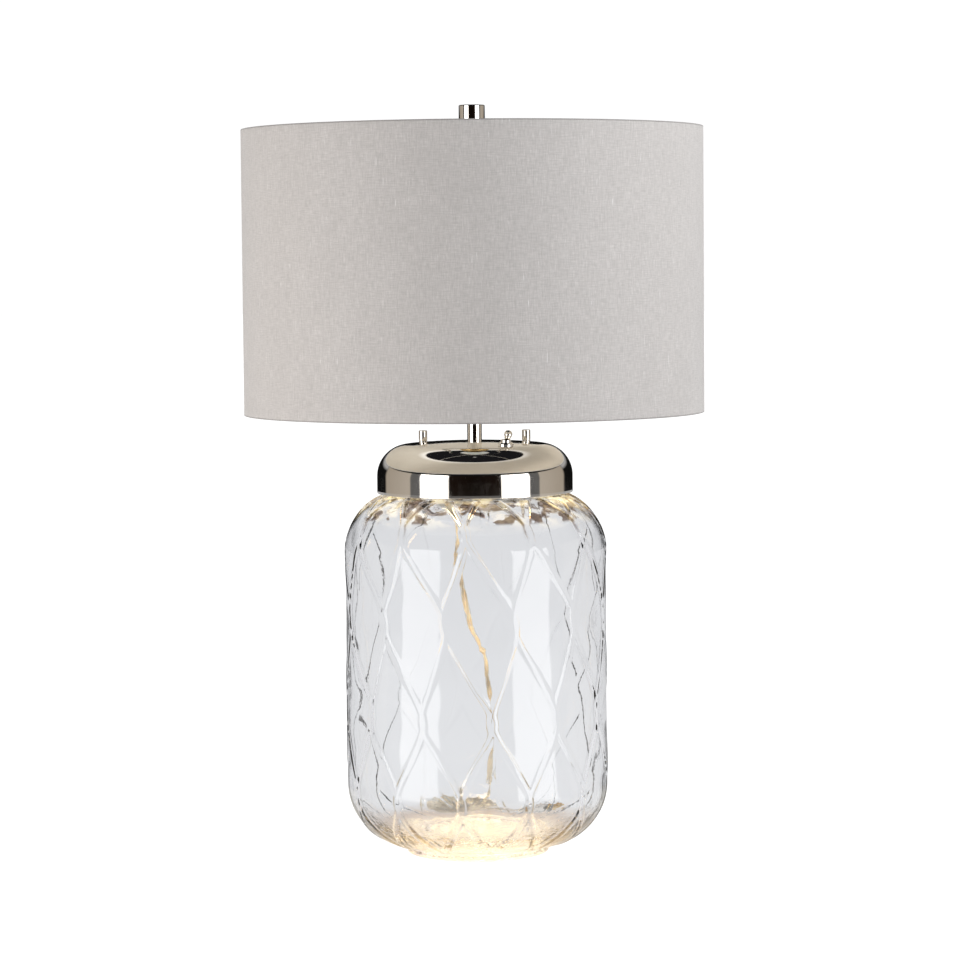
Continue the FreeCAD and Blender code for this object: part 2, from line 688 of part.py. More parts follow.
def socket_screw_shell():
    inner = SCREW_SHELL_RADIUS - SCREW_SHELL_SHEET
    return ring(inner, SCREW_SHELL_RADIUS, CORE_TOP_Z, SCREW_SHELL_TOP_Z)


def socket_contact():
    return cylinder(CONTACT_RADIUS, CORE_TOP_Z, CONTACT_TOP_Z)


# ---- Bulb ----
def bulb_tip():
    return cylinder(BULB_TIP_RADIUS, CONTACT_TOP_Z + GAP, BULB_CAP_Z)


def bulb_cap():
    inner = BULB_CAP_RADIUS - BULB_CAP_SHEET
    return revolved(
        (0.0, BULB_CAP_Z),
        (BULB_CAP_RADIUS - BULB_CAP_TAPER, BULB_CAP_Z),
        (BULB_CAP_RADIUS, BULB_CAP_Z + BULB_CAP_TAPER),
        (BULB_CAP_RADIUS, BULB_CAP_TOP_Z),
        (inner, BULB_CAP_TOP_Z),
        (inner, BULB_CAP_Z + BULB_CAP_TAPER),
        (inner - BULB_CAP_TAPER, BULB_CAP_Z + BULB_CAP_SHEET),
        (0.0, BULB_CAP_Z + BULB_CAP_SHEET),
    )


def bulb_form(inset, foot_z):
    """Pear-shaped solid: a ball, a tangent cone and a neck."""
    centre_z = BULB_TOP_Z - BULB_RADIUS
    radius = BULB_RADIUS - inset
    neck = BULB_NECK_RADIUS - inset
    side = math.radians(BULB_SIDE_DEG)
    cone_top = (radius * math.cos(side), centre_z + radius * math.sin(side))
    cone_z = cone_top[1] - (cone_top[0] - neck) * math.cos(side) / -math.sin(side)
    return revolved(
        (0.0, foot_z),
        (neck, foot_z),
        (neck, cone_z),
        cone_top,
        arc_step((0.0, centre_z), radius, BULB_SIDE_DEG, 90),
    )


def bulb_glass():
    return bulb_form(0.0, BULB_CAP_TOP_Z).cut(bulb_form(BULB_GLASS, BULB_CAP_TOP_Z - CUT_REACH))


# ---- Shade ----
def shade_fabric():
    return ring(SHADE_RADIUS - FABRIC_SHEET, SHADE_RADIUS, SHADE_Z, SHADE_TOP_Z)


def shade_lining():
    outer = SHADE_RADIUS - FABRIC_SHEET
    return ring(outer - LINING_SHEET, outer, SHADE_Z, SHADE_TOP_Z)


def wire_ring(z):
    return Part.makeTorus(RING_RADIUS, RING_WIRE_RADIUS, Vector(0, 0, z), UP)


def shade_spider():
    """Top wire, three arms and the washer that sits on the harp, welded together."""
    hub_z = HARP_TOP_Z + GAP
    arm_z = hub_z + HUB_SHEET / 2
    ring_z = SHADE_TOP_Z - RING_WIRE_RADIUS - NIP
    start_r = HUB_RADIUS - RING_WIRE_RADIUS
    route = [(start_r, arm_z), (ARM_KNEE_RADIUS, arm_z), (RING_RADIUS - ARM_LAP, ring_z)]
    arms = []
    for degrees in ARM_DEGREES:
        points = [(*around(r, degrees), z) for r, z in route]
        arms.append(tube_along(points, RING_WIRE_RADIUS)[0])
    hub = ring(HUB_BORE_RADIUS, HUB_RADIUS, hub_z, hub_z + HUB_SHEET)
    return wire_ring(ring_z).fuse([hub, *arms])


def shade_bottom_ring():
    return wire_ring(SHADE_Z + RING_WIRE_RADIUS + NIP)


def finial():
    low = HARP_TOP_Z + GAP + HUB_SHEET + GAP
    barrel = cylinder(FINIAL_RADIUS, low, FINIAL_TOP_Z)
    rims = [e for e in barrel.Edges if e.BoundBox.ZLength < FLAT_EDGE]
    bore = cylinder(HARP_STUD_RADIUS + GAP, low, FINIAL_BORE_TOP_Z)
    return barrel.makeChamfer(FINIAL_CHAMFER, rims).cut(bore)


# ---- Cord gland, cord and plug ----
def on_gland(shape, drop_deg=0.0):
    """Moves a shape drawn along +Z so that it points out of the cap's back wall."""
    x, y = around(CAP_RADIUS, GLAND_DEG)
    outward = FreeCAD.Rotation(UP, Vector(*around(1.0, GLAND_DEG), 0))
    drop = FreeCAD.Rotation(Vector(*around(1.0, GLAND_DEG + 90), 0), drop_deg)
    moved = shape.copy()
    moved.Placement = FreeCAD.Placement(Vector(x, y, GLAND_Z), drop.multiply(outward))
    return moved


def boot_tip():
    """Where the cord leaves the strain relief."""
    reach = GLAND_COLLAR_R - CAP_RADIUS
    drop = math.radians(BOOT_DROP_DEG)
    x, y = around(CAP_RADIUS + (reach + BOOT_LENGTH) * math.cos(drop), GLAND_DEG)
    return (x, y, GLAND_Z - (reach + BOOT_LENGTH) * math.sin(drop))


def cord_gland():
    """Threaded neck, collar and tapering strain relief, moulded in one."""
    reach = GLAND_COLLAR_R - CAP_RADIUS
    collar = on_gland(cylinder(GLAND_COLLAR_RADIUS, GLAND_NUT_SPAN[1], reach))
    collar = collar.cut(cap_form(0.0, CAP_RIM_Z))
    thread = on_gland(cylinder(GLAND_THREAD_RADIUS, -GLAND_THREAD_LENGTH, 0.0))
    boot = on_gland(Part.makeCone(BOOT_RADIUS, BOOT_TIP_RADIUS, reach + BOOT_LENGTH), BOOT_DROP_DEG)
    outside = boot.cut(cap_form(0.0, CAP_RIM_Z))
    return collar.fuse([thread, outside]).removeSplitter()


def gland_nut():
    return on_gland(ring(GLAND_THREAD_RADIUS, GLAND_NUT_RADIUS, *GLAND_NUT_SPAN))


def cord_coil():
    inner, outer = COIL_RADII
    low, high = COIL_SPAN
    coil = revolved(
        (inner + COIL_EDGE, low),
        (outer - COIL_EDGE, low),
        arc_step((outer - COIL_EDGE, low + COIL_EDGE), COIL_EDGE, -90, 0),
        (outer, high - COIL_EDGE),
        arc_step((outer - COIL_EDGE, high - COIL_EDGE), COIL_EDGE, 0, 90),
        (inner + COIL_EDGE, high),
        arc_step((inner + COIL_EDGE, high - COIL_EDGE), COIL_EDGE, 90, 180),
        (inner, low + COIL_EDGE),
        arc_step((inner + COIL_EDGE, low + COIL_EDGE), COIL_EDGE, 180, 270),
    )
    return coil.translate(Vector(*COIL_CENTRE, 0))


def cord_drop():
    tube, radii = tube_along([boot_tip(), *CORD_DROP], CORD_RADIUS)
    print("cord drop arc radii, mm:", [round(r, 1) for r in radii])
    return tube.cut(cord_coil())


def cord_tail():
    tube, radii = tube_along(CORD_TAIL, CORD_RADIUS)
    print("cord tail arc radii, mm:", [round(r, 1) for r in radii])
    return tube.cut(cord_coil())


def cord_tie():
    """Strap round the coil's section on the side away from the plug."""
    inner, outer = COIL_RADII
    size = (outer - inner + 2 * TIE_SHEET, TIE_WIDTH, COIL_SPAN[1] + TIE_SHEET)
    middle = (COIL_CENTRE[0] - (inner + outer) / 2, COIL_CENTRE[1])
    return block(size, middle, 0.0).cut(cord_coil())


def plug_body():
    x, y, z = CORD_TAIL[-1]
    start = Vector(x, y, z)
    boot = Part.makeCone(BOOT_TIP_RADIUS, PLUG_BOOT_RADIUS, PLUG_BOOT_LENGTH, start, Vector(1, 0, 0))
    size = (PLUG_BODY_LENGTH, PLUG_WIDTH, PLUG_HEIGHT)
    body = block(size, (x + PLUG_BOOT_LENGTH + PLUG_BODY_LENGTH / 2, y), 0.0)
    body = body.makeFillet(PLUG_EDGE, body.Edges)
    slots = [blade(side) for side in (-1, 1)]
    return boot.fuse(body).cut(slots)


def blade(side):
    x, y, z = CORD_TAIL[-1]
    face_x = x + PLUG_BOOT_LENGTH + PLUG_BODY_LENGTH
    size = (BLADE_LENGTH + BLADE_ROOT, BLADE_SHEET, BLADE_WIDTH)
    centre = (face_x + (BLADE_LENGTH - BLADE_ROOT) / 2, y + side * BLADE_SPACING / 2)
    return block(size, centre, z - BLADE_WIDTH / 2)


def plug_blades():
    return group([blade(side) for side in (-1, 1)])


# ---- Inner wires ----
def wires_along(*routes):
    return group([tube_along(route, WIRE_RADIUS)[0] for route in routes])


def socket_wires():
    """From the terminal block through the rod's slot and up to the lampholder."""
    entry_y = BLOCK_CENTRE[1] - BLOCK_SIZE[1] / 2 - WIRE_STANDOFF
    knee_x, knee_y, knee_z = SOCKET_WIRE_KNEE
    routes = []
    for x, y in ROD_WIRES:
        entry = (SOCKET_WIRE_SPREAD * x + BLOCK_CENTRE[0], entry_y, SOCKET_WIRE_ENTRY_Z)
        inside = [(x + dx, y, z) for dx, z in ROD_WIRE_STOPS]
        routes.append([entry, (x + knee_x, knee_y, knee_z), *inside, (x, y, SOCKET_CAP_TOP_Z)])
    return wires_along(*routes)


def supply_wires():
    """From the gland to the back of the terminal block."""
    x, y = around(CAP_RADIUS - GLAND_THREAD_LENGTH - WIRE_STANDOFF, GLAND_DEG)
    end_y = BLOCK_CENTRE[1] + BLOCK_SIZE[1] / 2 + WIRE_STANDOFF
    knee_x, knee_y, knee_z = SUPPLY_WIRE_KNEE
    routes = []
    for dx in (-SUPPLY_WIRE_OFFSET, SUPPLY_WIRE_OFFSET):
        knee = (x + dx + knee_x, y + knee_y, knee_z)
        routes.append([(x + dx, y, GLAND_Z), knee, (x + 2 * dx, end_y, SUPPLY_WIRE_END_Z)])
    return wires_along(*routes)


def switch_wires():
    """From the terminal block to the toggle switch."""
    start_x = BLOCK_CENTRE[0] + BLOCK_SIZE[0] / 2 + WIRE_STANDOFF
    start_y, start_z = SWITCH_WIRE_START
    routes = []
    for d in (-SWITCH_WIRE_OFFSET, SWITCH_WIRE_OFFSET):
        across = [(x, y + d, z) for x, y, z in [(start_x, start_y, start_z), *SWITCH_WIRE_ACROSS]]
        routes.append([*across, *((x + d, y, z) for x, y, z in SWITCH_WIRE_RISE)])
    return wires_along(*routes)


def led_wires():
    """From the driver down through the lid to the board."""
    return group([cylinder(WIRE_RADIUS, LED_HOUSING_Z, LID_TOP_Z, place) for place in LED_WIRE_PLACES])


def pieces():
    """Every node's name and shape."""
    return {
        "glass_jar": glass_jar(),
        "neck_liner": neck_liner(),
        "neck_gasket": neck_gasket(),
        "inner_lid": inner_lid(),
        "led_housing": led_housing(),
        "led_screws": led_screws(),
        "led_board": led_board(),
        "led_chips": led_chips(),
        "led_lens": led_lens(),
        "led_bezel": led_bezel(),
        "led_driver": led_driver(),
        "terminal_block": terminal_block(),
        "cap_dome": cap_dome(),
        "cap_studs": cap_studs(),
        "stud_nuts": stud_nuts(),
        "stud_washers": stud_washers(),
        "thumb_nut_left": thumb_nut("left"),
        "thumb_nut_right": thumb_nut("right"),
        "toggle_body": toggle_body(),
        "toggle_bushing": toggle_bushing(),
        "toggle_nut": toggle_nut(),
        "toggle_lever": toggle_lever(),
        "lamp_rod": lamp_rod(),
        "rod_nut_lower": hex_nut(ROD_NUT_FLATS, ROD_RADIUS, LID_Z - ROD_NUT_HEIGHT, LID_Z),
        "rod_nut_upper": hex_nut(ROD_NUT_FLATS, ROD_RADIUS, LID_TOP_Z, LID_TOP_Z + ROD_NUT_HEIGHT / 2),
        "stem_tube": stem_tube(),
        "harp_saddle": harp_saddle(),
        "harp_bow": harp_bow(),
        "harp_stud": harp_stud(),
        "harp_sleeve_left": harp_sleeve(-1),
        "harp_sleeve_right": harp_sleeve(1),
        "socket_cap": socket_cap(),
        "socket_shell": socket_shell(),
        "socket_liner": socket_liner(),
        "socket_core": socket_core(),
        "socket_screw_shell": socket_screw_shell(),
        "socket_contact": socket_contact(),
        "bulb_tip": bulb_tip(),
        "bulb_cap": bulb_cap(),
        "bulb_glass": bulb_glass(),
        "shade_fabric": shade_fabric(),
        "shade_lining": shade_lining(),
        "shade_spider": shade_spider(),
        "shade_bottom_ring": shade_bottom_ring(),
        "finial": finial(),
        "cord_gland": cord_gland(),
        "gland_nut": gland_nut(),
        "cord_drop": cord_drop(),
        "cord_coil": cord_coil(),
        "cord_tail": cord_tail(),
        "cord_tie": cord_tie(),
        "plug_body": plug_body(),
        "plug_blades": plug_blades(),
        "socket_wires": socket_wires(),
        "supply_wires": supply_wires(),
        "switch_wires": switch_wires(),
        "led_wires": led_wires(),
    }


os.makedirs("parts", exist_ok=True)
for name, shape in pieces().items():
    shape.exportStep(f"parts/{name}.step")
    print(f"{name}: {len(shape.Solids)} solids, {shape.Volume / 1000:.2f} cm3, valid {shape.isValid()}")
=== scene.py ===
import json
import math

import bpy
import numpy as np
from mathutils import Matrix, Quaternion, Vector


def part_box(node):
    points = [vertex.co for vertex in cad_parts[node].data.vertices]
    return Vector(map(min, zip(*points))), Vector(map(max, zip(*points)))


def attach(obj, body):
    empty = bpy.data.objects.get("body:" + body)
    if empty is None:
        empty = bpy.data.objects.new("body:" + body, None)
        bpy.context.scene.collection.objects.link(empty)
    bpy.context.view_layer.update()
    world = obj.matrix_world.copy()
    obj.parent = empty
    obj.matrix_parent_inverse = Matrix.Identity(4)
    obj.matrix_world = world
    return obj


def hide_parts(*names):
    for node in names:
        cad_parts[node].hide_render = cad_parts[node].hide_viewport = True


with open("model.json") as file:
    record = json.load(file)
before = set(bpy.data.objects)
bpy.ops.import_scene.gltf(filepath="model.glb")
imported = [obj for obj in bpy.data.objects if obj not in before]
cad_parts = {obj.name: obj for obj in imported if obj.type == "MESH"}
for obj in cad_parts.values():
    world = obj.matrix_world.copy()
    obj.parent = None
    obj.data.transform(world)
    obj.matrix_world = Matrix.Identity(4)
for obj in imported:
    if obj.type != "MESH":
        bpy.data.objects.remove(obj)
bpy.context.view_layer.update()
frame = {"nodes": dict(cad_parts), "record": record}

MM = 0.001

# Table lamp: a glass jar with a lattice of raised trails, lit from its lid, a nickel cap and stem, and a
# drum shade on a harp.
# Metres, in the frame's own axes: the floor is z = 0 and the front faces -Y.


# ---- Camera ----
EYE = Vector((0.0014, -2.875, 0.523))
LOOK_AT = Vector((0.0014, 0.0, 0.333))
LENS = 123.0
SENSOR = 36.0
ROLL = math.radians(-0.5)


def make_camera():
    data = bpy.data.cameras.new("camera")
    data.sensor_width = SENSOR
    data.lens = LENS
    camera = bpy.data.objects.new("camera", data)
    bpy.context.scene.collection.objects.link(camera)
    camera.location = EYE
    aim = (LOOK_AT - EYE).to_track_quat("-Z", "Y")
    camera.rotation_mode = "QUATERNION"
    camera.rotation_quaternion = aim @ Quaternion((0, 0, 1), ROLL)
    bpy.context.scene.camera = camera


make_camera()


# ---- Shader helpers ----
def material(name):
    made = bpy.data.materials.new(name)
    made.use_nodes = True
    return made, made.node_tree, made.node_tree.nodes["Principled BSDF"]


def node(tree, kind, inputs=None, **settings):
    """A shader node whose inputs, by number or name, are linked or set."""
    made = tree.nodes.new("ShaderNode" + kind)
    for key, value in settings.items():
        setattr(made, key, value)
    for key, value in (inputs or {}).items():
        if isinstance(value, bpy.types.NodeSocket):
            tree.links.new(value, made.inputs[key])
        else:
            made.inputs[key].default_value = value
    return made


def math_node(tree, operation, a, b=0.0, c=0.0):
    return node(tree, "Math", {0: a, 1: b, 2: c}, operation=operation).outputs[0]


def object_point(tree):
    return node(tree, "TexCoord").outputs["Object"]


def stretched(tree, point, scale):
    """A point scaled along each axis, to draw out a texture."""
    return node(tree, "VectorMath", {0: point, 1: scale}, operation="MULTIPLY").outputs[0]


def unrolled(tree, radius):
    """The point on a cylinder of this radius laid flat, and its height."""
    x, y, z = node(tree, "SeparateXYZ", {0: object_point(tree)}).outputs
    turn = math_node(tree, "ARCTAN2", x, math_node(tree, "MULTIPLY", y, -1.0))
    flat = node(tree, "CombineXYZ", {0: math_node(tree, "MULTIPLY", turn, radius), 1: z, 2: 0.0})
    return flat.outputs[0], z


def from_axis(tree, x, y):
    """Distance from the lamp's upright axis."""
    across = math_node(tree, "MULTIPLY", x, x)
    deep = math_node(tree, "MULTIPLY", y, y)
    return math_node(tree, "SQRT", math_node(tree, "ADD", across, deep))


def noise(tree, point, scale, detail=2.0, rough=0.5):
    made = node(tree, "TexNoise", {"Vector": point, "Scale": scale, "Detail": detail, "Roughness": rough})
    return made.outputs["Fac"]


def spread(tree, value, low, high, to_low=0.0, to_high=1.0):
    """A value from low to high, mapped on to another range and held inside it."""
    made = node(tree, "MapRange", {0: value, 1: low, 2: high, 3: to_low, 4: to_high}, clamp=True)
    return made.outputs[0]


def colour_mix(tree, share, first, second, blend="MIX"):
    made = node(tree, "Mix", {0: share, 6: first, 7: second}, data_type="RGBA", blend_type=blend)
    return made.outputs[2]


def bump(tree, height, strength, distance):
    made = node(tree, "Bump", {"Height": height, "Strength": strength, "Distance": distance})
    return made.outputs[0]


def set_inputs(shader, tree, **values):
    """Link or set sockets of a shader, named with underscores for spaces."""
    for key, value in values.items():
        socket = shader.inputs[key.replace("_", " ")]
        if isinstance(value, bpy.types.NodeSocket):
            tree.links.new(value, socket)
        else:
            socket.default_value = value


def rgba(r, g, b):
    return (r, g, b, 1.0)


# ---- Materials ----
SHADED_HEIGHT = 0.014  # over the cap's lower edge, up to which its inside has painted shade


def painted_shade_part(tree, point):
    """Where shade is painted: 1 on the inner face of the cap near its lower edge, 0 on its outer face and
    higher up.
    """
    x, y, z = node(tree, "SeparateXYZ", {0: point}).outputs
    inward = spread(tree, from_axis(tree, x, y), CAP_RADIUS - 0.0002, CAP_RADIUS - 0.0005)
    below = spread(tree, z, CAP_LOW + SHADED_HEIGHT + 0.002, CAP_LOW + SHADED_HEIGHT)
    return math_node(tree, "MULTIPLY", inward, below)


def polished_nickel(name="polished_nickel", painted_shade_inside=False):
    """Mirror-bright nickel, faintly hazed and smeared; the cap's has painted shade, near black, low down
    inside.
    """
    made, tree, shader = material(name)
    point = object_point(tree)
    haze = noise(tree, point, 45.0, 3.0)
    smears = noise(tree, stretched(tree, point, (1.0, 1.0, 0.25)), 160.0, 4.0, 0.6)
    ripple = noise(tree, point, 14.0, 1.0)
    tint = colour_mix(tree, haze, rgba(0.80, 0.765, 0.715), rgba(0.74, 0.70, 0.645))
    if painted_shade_inside:
        # Painted shade: the inner face of the cap near its lower edge is coloured near black.
        painted_shade = colour_mix(tree, haze, rgba(0.10, 0.075, 0.06), rgba(0.05, 0.04, 0.03))
        tint = colour_mix(tree, painted_shade_part(tree, point), tint, painted_shade)
    set_inputs(shader, tree, Base_Color=tint, Metallic=1.0,
               Roughness=spread(tree, smears, 0.35, 0.75, 0.035, 0.085),
               Normal=bump(tree, ripple, 0.05, 0.002))
    return made


def plated_steel():
    made, tree, shader = material("plated_steel")
    point = object_point(tree)
    grain = noise(tree, stretched(tree, point, (1.0, 1.0, 0.08)), 900.0, 4.0, 0.6)
    tint = colour_mix(tree, noise(tree, point, 60.0, 3.0), rgba(0.62, 0.60, 0.57), rgba(0.50, 0.49, 0.47))
    set_inputs(shader, tree, Base_Color=tint, Metallic=1.0,
               Roughness=spread(tree, grain, 0.2, 0.8, 0.2, 0.42),
               Normal=bump(tree, grain, 0.12, 0.0004))
    return made


def bright_brass():
    made, tree, shader = material("bright_brass")
    point = object_point(tree)
    stain = noise(tree, point, 90.0, 4.0)
    tint = colour_mix(tree, stain, rgba(0.78, 0.58, 0.28), rgba(0.62, 0.43, 0.19))
    set_inputs(shader, tree, Base_Color=tint, Metallic=1.0,
               Roughness=spread(tree, stain, 0.3, 0.8, 0.16, 0.4),
               Normal=bump(tree, noise(tree, point, 700.0, 3.0), 0.06, 0.0003))
    return made


def anodised():
    made, tree, shader = material("satin_anodised")
    point = object_point(tree)
    grain = noise(tree, stretched(tree, point, (1.0, 1.0, 6.0)), 700.0, 3.0)
    tint = colour_mix(tree, grain, rgba(0.83, 0.83, 0.82), rgba(0.72, 0.72, 0.71))
    set_inputs(shader, tree, Base_Color=tint, Metallic=0.85,
               Roughness=spread(tree, grain, 0.2, 0.8, 0.32, 0.5),
               Normal=bump(tree, grain, 0.1, 0.0003))
    return made


def plastic(name, light, dark, rough, speckle=500.0, depth=0.0002):
    made, tree, shader = material(name)
    point = object_point(tree)
    cloud = noise(tree, point, 40.0, 3.0)
    skin = noise(tree, point, speckle, 3.0, 0.6)
    set_inputs(shader, tree, Base_Color=colour_mix(tree, cloud, light, dark),
               Roughness=spread(tree, skin, 0.2, 0.8, rough - 0.08, rough + 0.1),
               Normal=bump(tree, skin, 0.15, depth))
    return made


FABRIC_DARK = rgba(0.50, 0.476, 0.465)
FABRIC_LIGHT = rgba(0.64, 0.611, 0.598)
FABRIC_SHADOW = rgba(0.34, 0.323, 0.314)
FABRIC_FOLD_SHADE = rgba(0.16, 0.15, 0.145)
FABRIC_SLUB = rgba(0.80, 0.79, 0.785)


def slubbed_silk():
    """Woven faux silk on the drum: fine threads both ways, with slubs that run up and down."""
    made, tree, shader = material("slubbed_silk")
    flat, z = unrolled(tree, SHADE_RADIUS)
    warp = noise(tree, stretched(tree, flat, (1150.0, 130.0, 1.0)), 1.0, 3.0, 0.65)
    streak = noise(tree, stretched(tree, flat, (620.0, 55.0, 1.0)), 1.0, 4.0, 0.6)
    slub = noise(tree, stretched(tree, flat, (820.0, 60.0, 1.0)), 1.0, 2.0, 0.5)
    weft = noise(tree, stretched(tree, flat, (110.0, 1150.0, 1.0)), 1.0, 3.0, 0.65)
    broad = noise(tree, stretched(tree, flat, (34.0, 16.0, 1.0)), 1.0, 2.0, 0.5)
    tone = colour_mix(tree, spread(tree, streak, 0.3, 0.7, 0.2, 0.8), FABRIC_DARK, FABRIC_LIGHT)
    tone = colour_mix(tree, spread(tree, warp, 0.38, 0.68, 0.0, 0.48), tone, FABRIC_SHADOW)
    tone = colour_mix(tree, spread(tree, weft, 0.38, 0.68, 0.0, 0.48), tone, FABRIC_SHADOW)
    tone = colour_mix(tree, spread(tree, slub, 0.69, 0.77, 0.0, 0.75), tone, FABRIC_SLUB)
    tone = colour_mix(tree, spread(tree, broad, 0.3, 0.7, 0.0, 0.12), tone, FABRIC_SHADOW)
    # Painted shade: a thin dark line along each rolled rim of the cloth.
    fold_shade = math_node(tree, "MAXIMUM", spread(tree, z, SHADE_HIGH - 0.0014, SHADE_HIGH - 0.0006),
                     spread(tree, z, SHADE_LOW + 0.0014, SHADE_LOW + 0.0006))
    tone = colour_mix(tree, math_node(tree, "MULTIPLY", fold_shade, 0.65), tone, FABRIC_FOLD_SHADE)
    upright = math_node(tree, "MULTIPLY", warp, 0.6)
    thread = math_node(tree, "ADD", upright, math_node(tree, "MULTIPLY", weft, 0.4))
    height = math_node(tree, "ADD", thread, math_node(tree, "MULTIPLY", slub, 0.8))
    set_inputs(shader, tree, Base_Color=tone, Roughness=spread(tree, streak, 0.3, 0.7, 0.62, 0.5),
               Sheen_Weight=0.35, Sheen_Roughness=0.35, Sheen_Tint=rgba(1.0, 0.99, 0.97),
               Specular_IOR_Level=0.35, Normal=bump(tree, height, 0.55, 0.0005))
    return made


def shade_lining():
    made, tree, shader = material("laminated_lining")
    flat, z = unrolled(tree, SHADE_RADIUS)
    cloud = noise(tree, flat, 30.0, 3.0)
    fibre = noise(tree, stretched(tree, flat, (300.0, 900.0, 1.0)), 1.0, 3.0)
    tone = colour_mix(tree, cloud, rgba(0.82, 0.78, 0.70), rgba(0.76, 0.71, 0.63))
    # Painted light: the lining turns paler towards the top rim and gives off a little light there.
    lit = spread(tree, z, SHADE_HIGH - 0.065, SHADE_HIGH - 0.02)
    tone = colour_mix(tree, lit, tone, rgba(0.95, 0.94, 0.92))
    set_inputs(shader, tree, Base_Color=tone, Roughness=spread(tree, fibre, 0.3, 0.7, 0.42, 0.6),
               Emission_Color=tone, Emission_Strength=math_node(tree, "MULTIPLY", lit, 0.22),
               Normal=bump(tree, fibre, 0.1, 0.0002))
    return made


GLOW_STRENGTH = 0.34
GLOW_DEEP = rgba(1.0, 0.50, 0.20)
GLOW_PALE = rgba(1.0, 0.83, 0.46)
CLEAR_TINT = rgba(0.985, 0.992, 0.99)
NECK_SHADE_BROWN = rgba(0.22, 0.16, 0.13)


def lit_bottom(tree, radius, z):
    """How much of the pool of light a point shows, on the underside and on the floor of the jar."""
    under = spread(tree, radius, 0.090, 0.045, 0.1, 1.0)
    under = math_node(tree, "MULTIPLY", spread(tree, z, PUSH_UP_Z + 0.0015, PUSH_UP_Z), under)
    over_floor = spread(tree, z, INNER_FLOOR_Z - 0.0010, INNER_FLOOR_Z - 0.0008)
    fading = spread(tree, z, INNER_FLOOR_Z + 0.0070, INNER_FLOOR_Z + 0.0005)
    inside = math_node(tree, "MULTIPLY", over_floor, fading)
    inside = math_node(tree, "MULTIPLY", inside, spread(tree, radius, 0.088, 0.030))
    return math_node(tree, "MAXIMUM", under, math_node(tree, "MULTIPLY", inside, 0.55))


def neck_shade(tree, z):
    """How much painted shade, in brown, a point takes just under the cap: broken flanks of the trails, and
    patches between them.
    """
    trail = node(tree, "Attribute", attribute_name="trail").outputs["Fac"]
    flank = math_node(tree, "MULTIPLY", spread(tree, trail, 0.02, 0.30), spread(tree, trail, 0.98, 0.70))
    patch = noise(tree, stretched(tree, object_point(tree), (1.0, 1.0, 1.5)), 46.0, 2.0, 0.6)
    flank = math_node(tree, "MULTIPLY", flank, spread(tree, patch, 0.42, 0.50))
    between = math_node(tree, "MULTIPLY", spread(tree, trail, 0.25, 0.05), spread(tree, patch, 0.545, 0.565))
    between = math_node(tree, "MULTIPLY", between, spread(tree, z, 0.297, 0.299))
    shaded = math_node(tree, "MAXIMUM", flank, between)
    return math_node(tree, "MULTIPLY", spread(tree, z, 0.284, 0.300), shaded)


def jar_glass():
    """Clear glass with a painted warm glow in its heavy bottom and just under the cap, standing in for the
    lamp's light.
    """
    made, tree, shader = material("jar_glass")
    x, y, z = node(tree, "SeparateXYZ", {0: object_point(tree)}).outputs
    bottom = lit_bottom(tree, from_axis(tree, x, y), z)
    pool = noise(tree, stretched(tree, object_point(tree), (1.0, 1.0, 1.6)), 55.0, 3.0, 0.65)
    spots = spread(tree, pool, 0.38, 0.60, 0.30, 1.0)
    # Painted light: the glass gives off warm light in spots over its bottom.
    glow = math_node(tree, "MULTIPLY", math_node(tree, "MULTIPLY", bottom, spots), GLOW_STRENGTH)
    # Painted glow in patches just under the cap.
    rise = spread(tree, z, 0.292, 0.316, 0.0, 0.30)
    neck = math_node(tree, "MULTIPLY", rise, spread(tree, pool, 0.50, 0.60))
    glow = math_node(tree, "ADD", glow, neck)
    warm = colour_mix(tree, spread(tree, pool, 0.40, 0.60), GLOW_DEEP, GLOW_PALE)
    # Painted shade in brown just under the cap.
    clear = colour_mix(tree, neck_shade(tree, z), CLEAR_TINT, NECK_SHADE_BROWN)
    ripple = noise(tree, stretched(tree, object_point(tree), (1.0, 1.0, 2.2)), 60.0, 3.0, 0.55)
    stirred = spread(tree, z, 0.050, 0.026, 0.02, 0.45)
    set_inputs(shader, tree, Base_Color=clear, Transmission_Weight=1.0, IOR=1.5,
               Roughness=0.0, Emission_Color=warm, Emission_Strength=glow,
               Normal=bump(tree, ripple, stirred, 0.002))
    return made


def opal_glass():
    made, tree, shader = material("opal_bulb_glass")
    cloud = noise(tree, object_point(tree), 30.0, 2.0)
    white = colour_mix(tree, cloud, rgba(0.93, 0.92, 0.89), rgba(0.88, 0.87, 0.83))
    set_inputs(shader, tree, Base_Color=white, Roughness=spread(tree, cloud, 0.3, 0.7, 0.12, 0.2),
               Subsurface_Weight=0.25, Coat_Weight=0.5)
    return made


LED_STRENGTH = 14.0


def led_light():
    made, tree, shader = material("lit_diffuser")
    cloud = noise(tree, object_point(tree), 120.0, 2.0)
    warm = colour_mix(tree, cloud, rgba(1.0, 0.66, 0.32), rgba(1.0, 0.74, 0.42))
    set_inputs(shader, tree, Base_Color=warm, Roughness=0.4, Emission_Color=warm,
               Emission_Strength=LED_STRENGTH)
    return made


def clear_pvc():
    made, tree, shader = material("clear_pvc")
    skin = noise(tree, object_point(tree), 260.0, 2.0)
    tint = colour_mix(tree, skin, rgba(0.97, 0.96, 0.93), rgba(0.94, 0.92, 0.87))
    set_inputs(shader, tree, Base_Color=tint, Transmission_Weight=0.92, IOR=1.45,
               Roughness=spread(tree, skin, 0.3, 0.7, 0.03, 0.09))
    return made


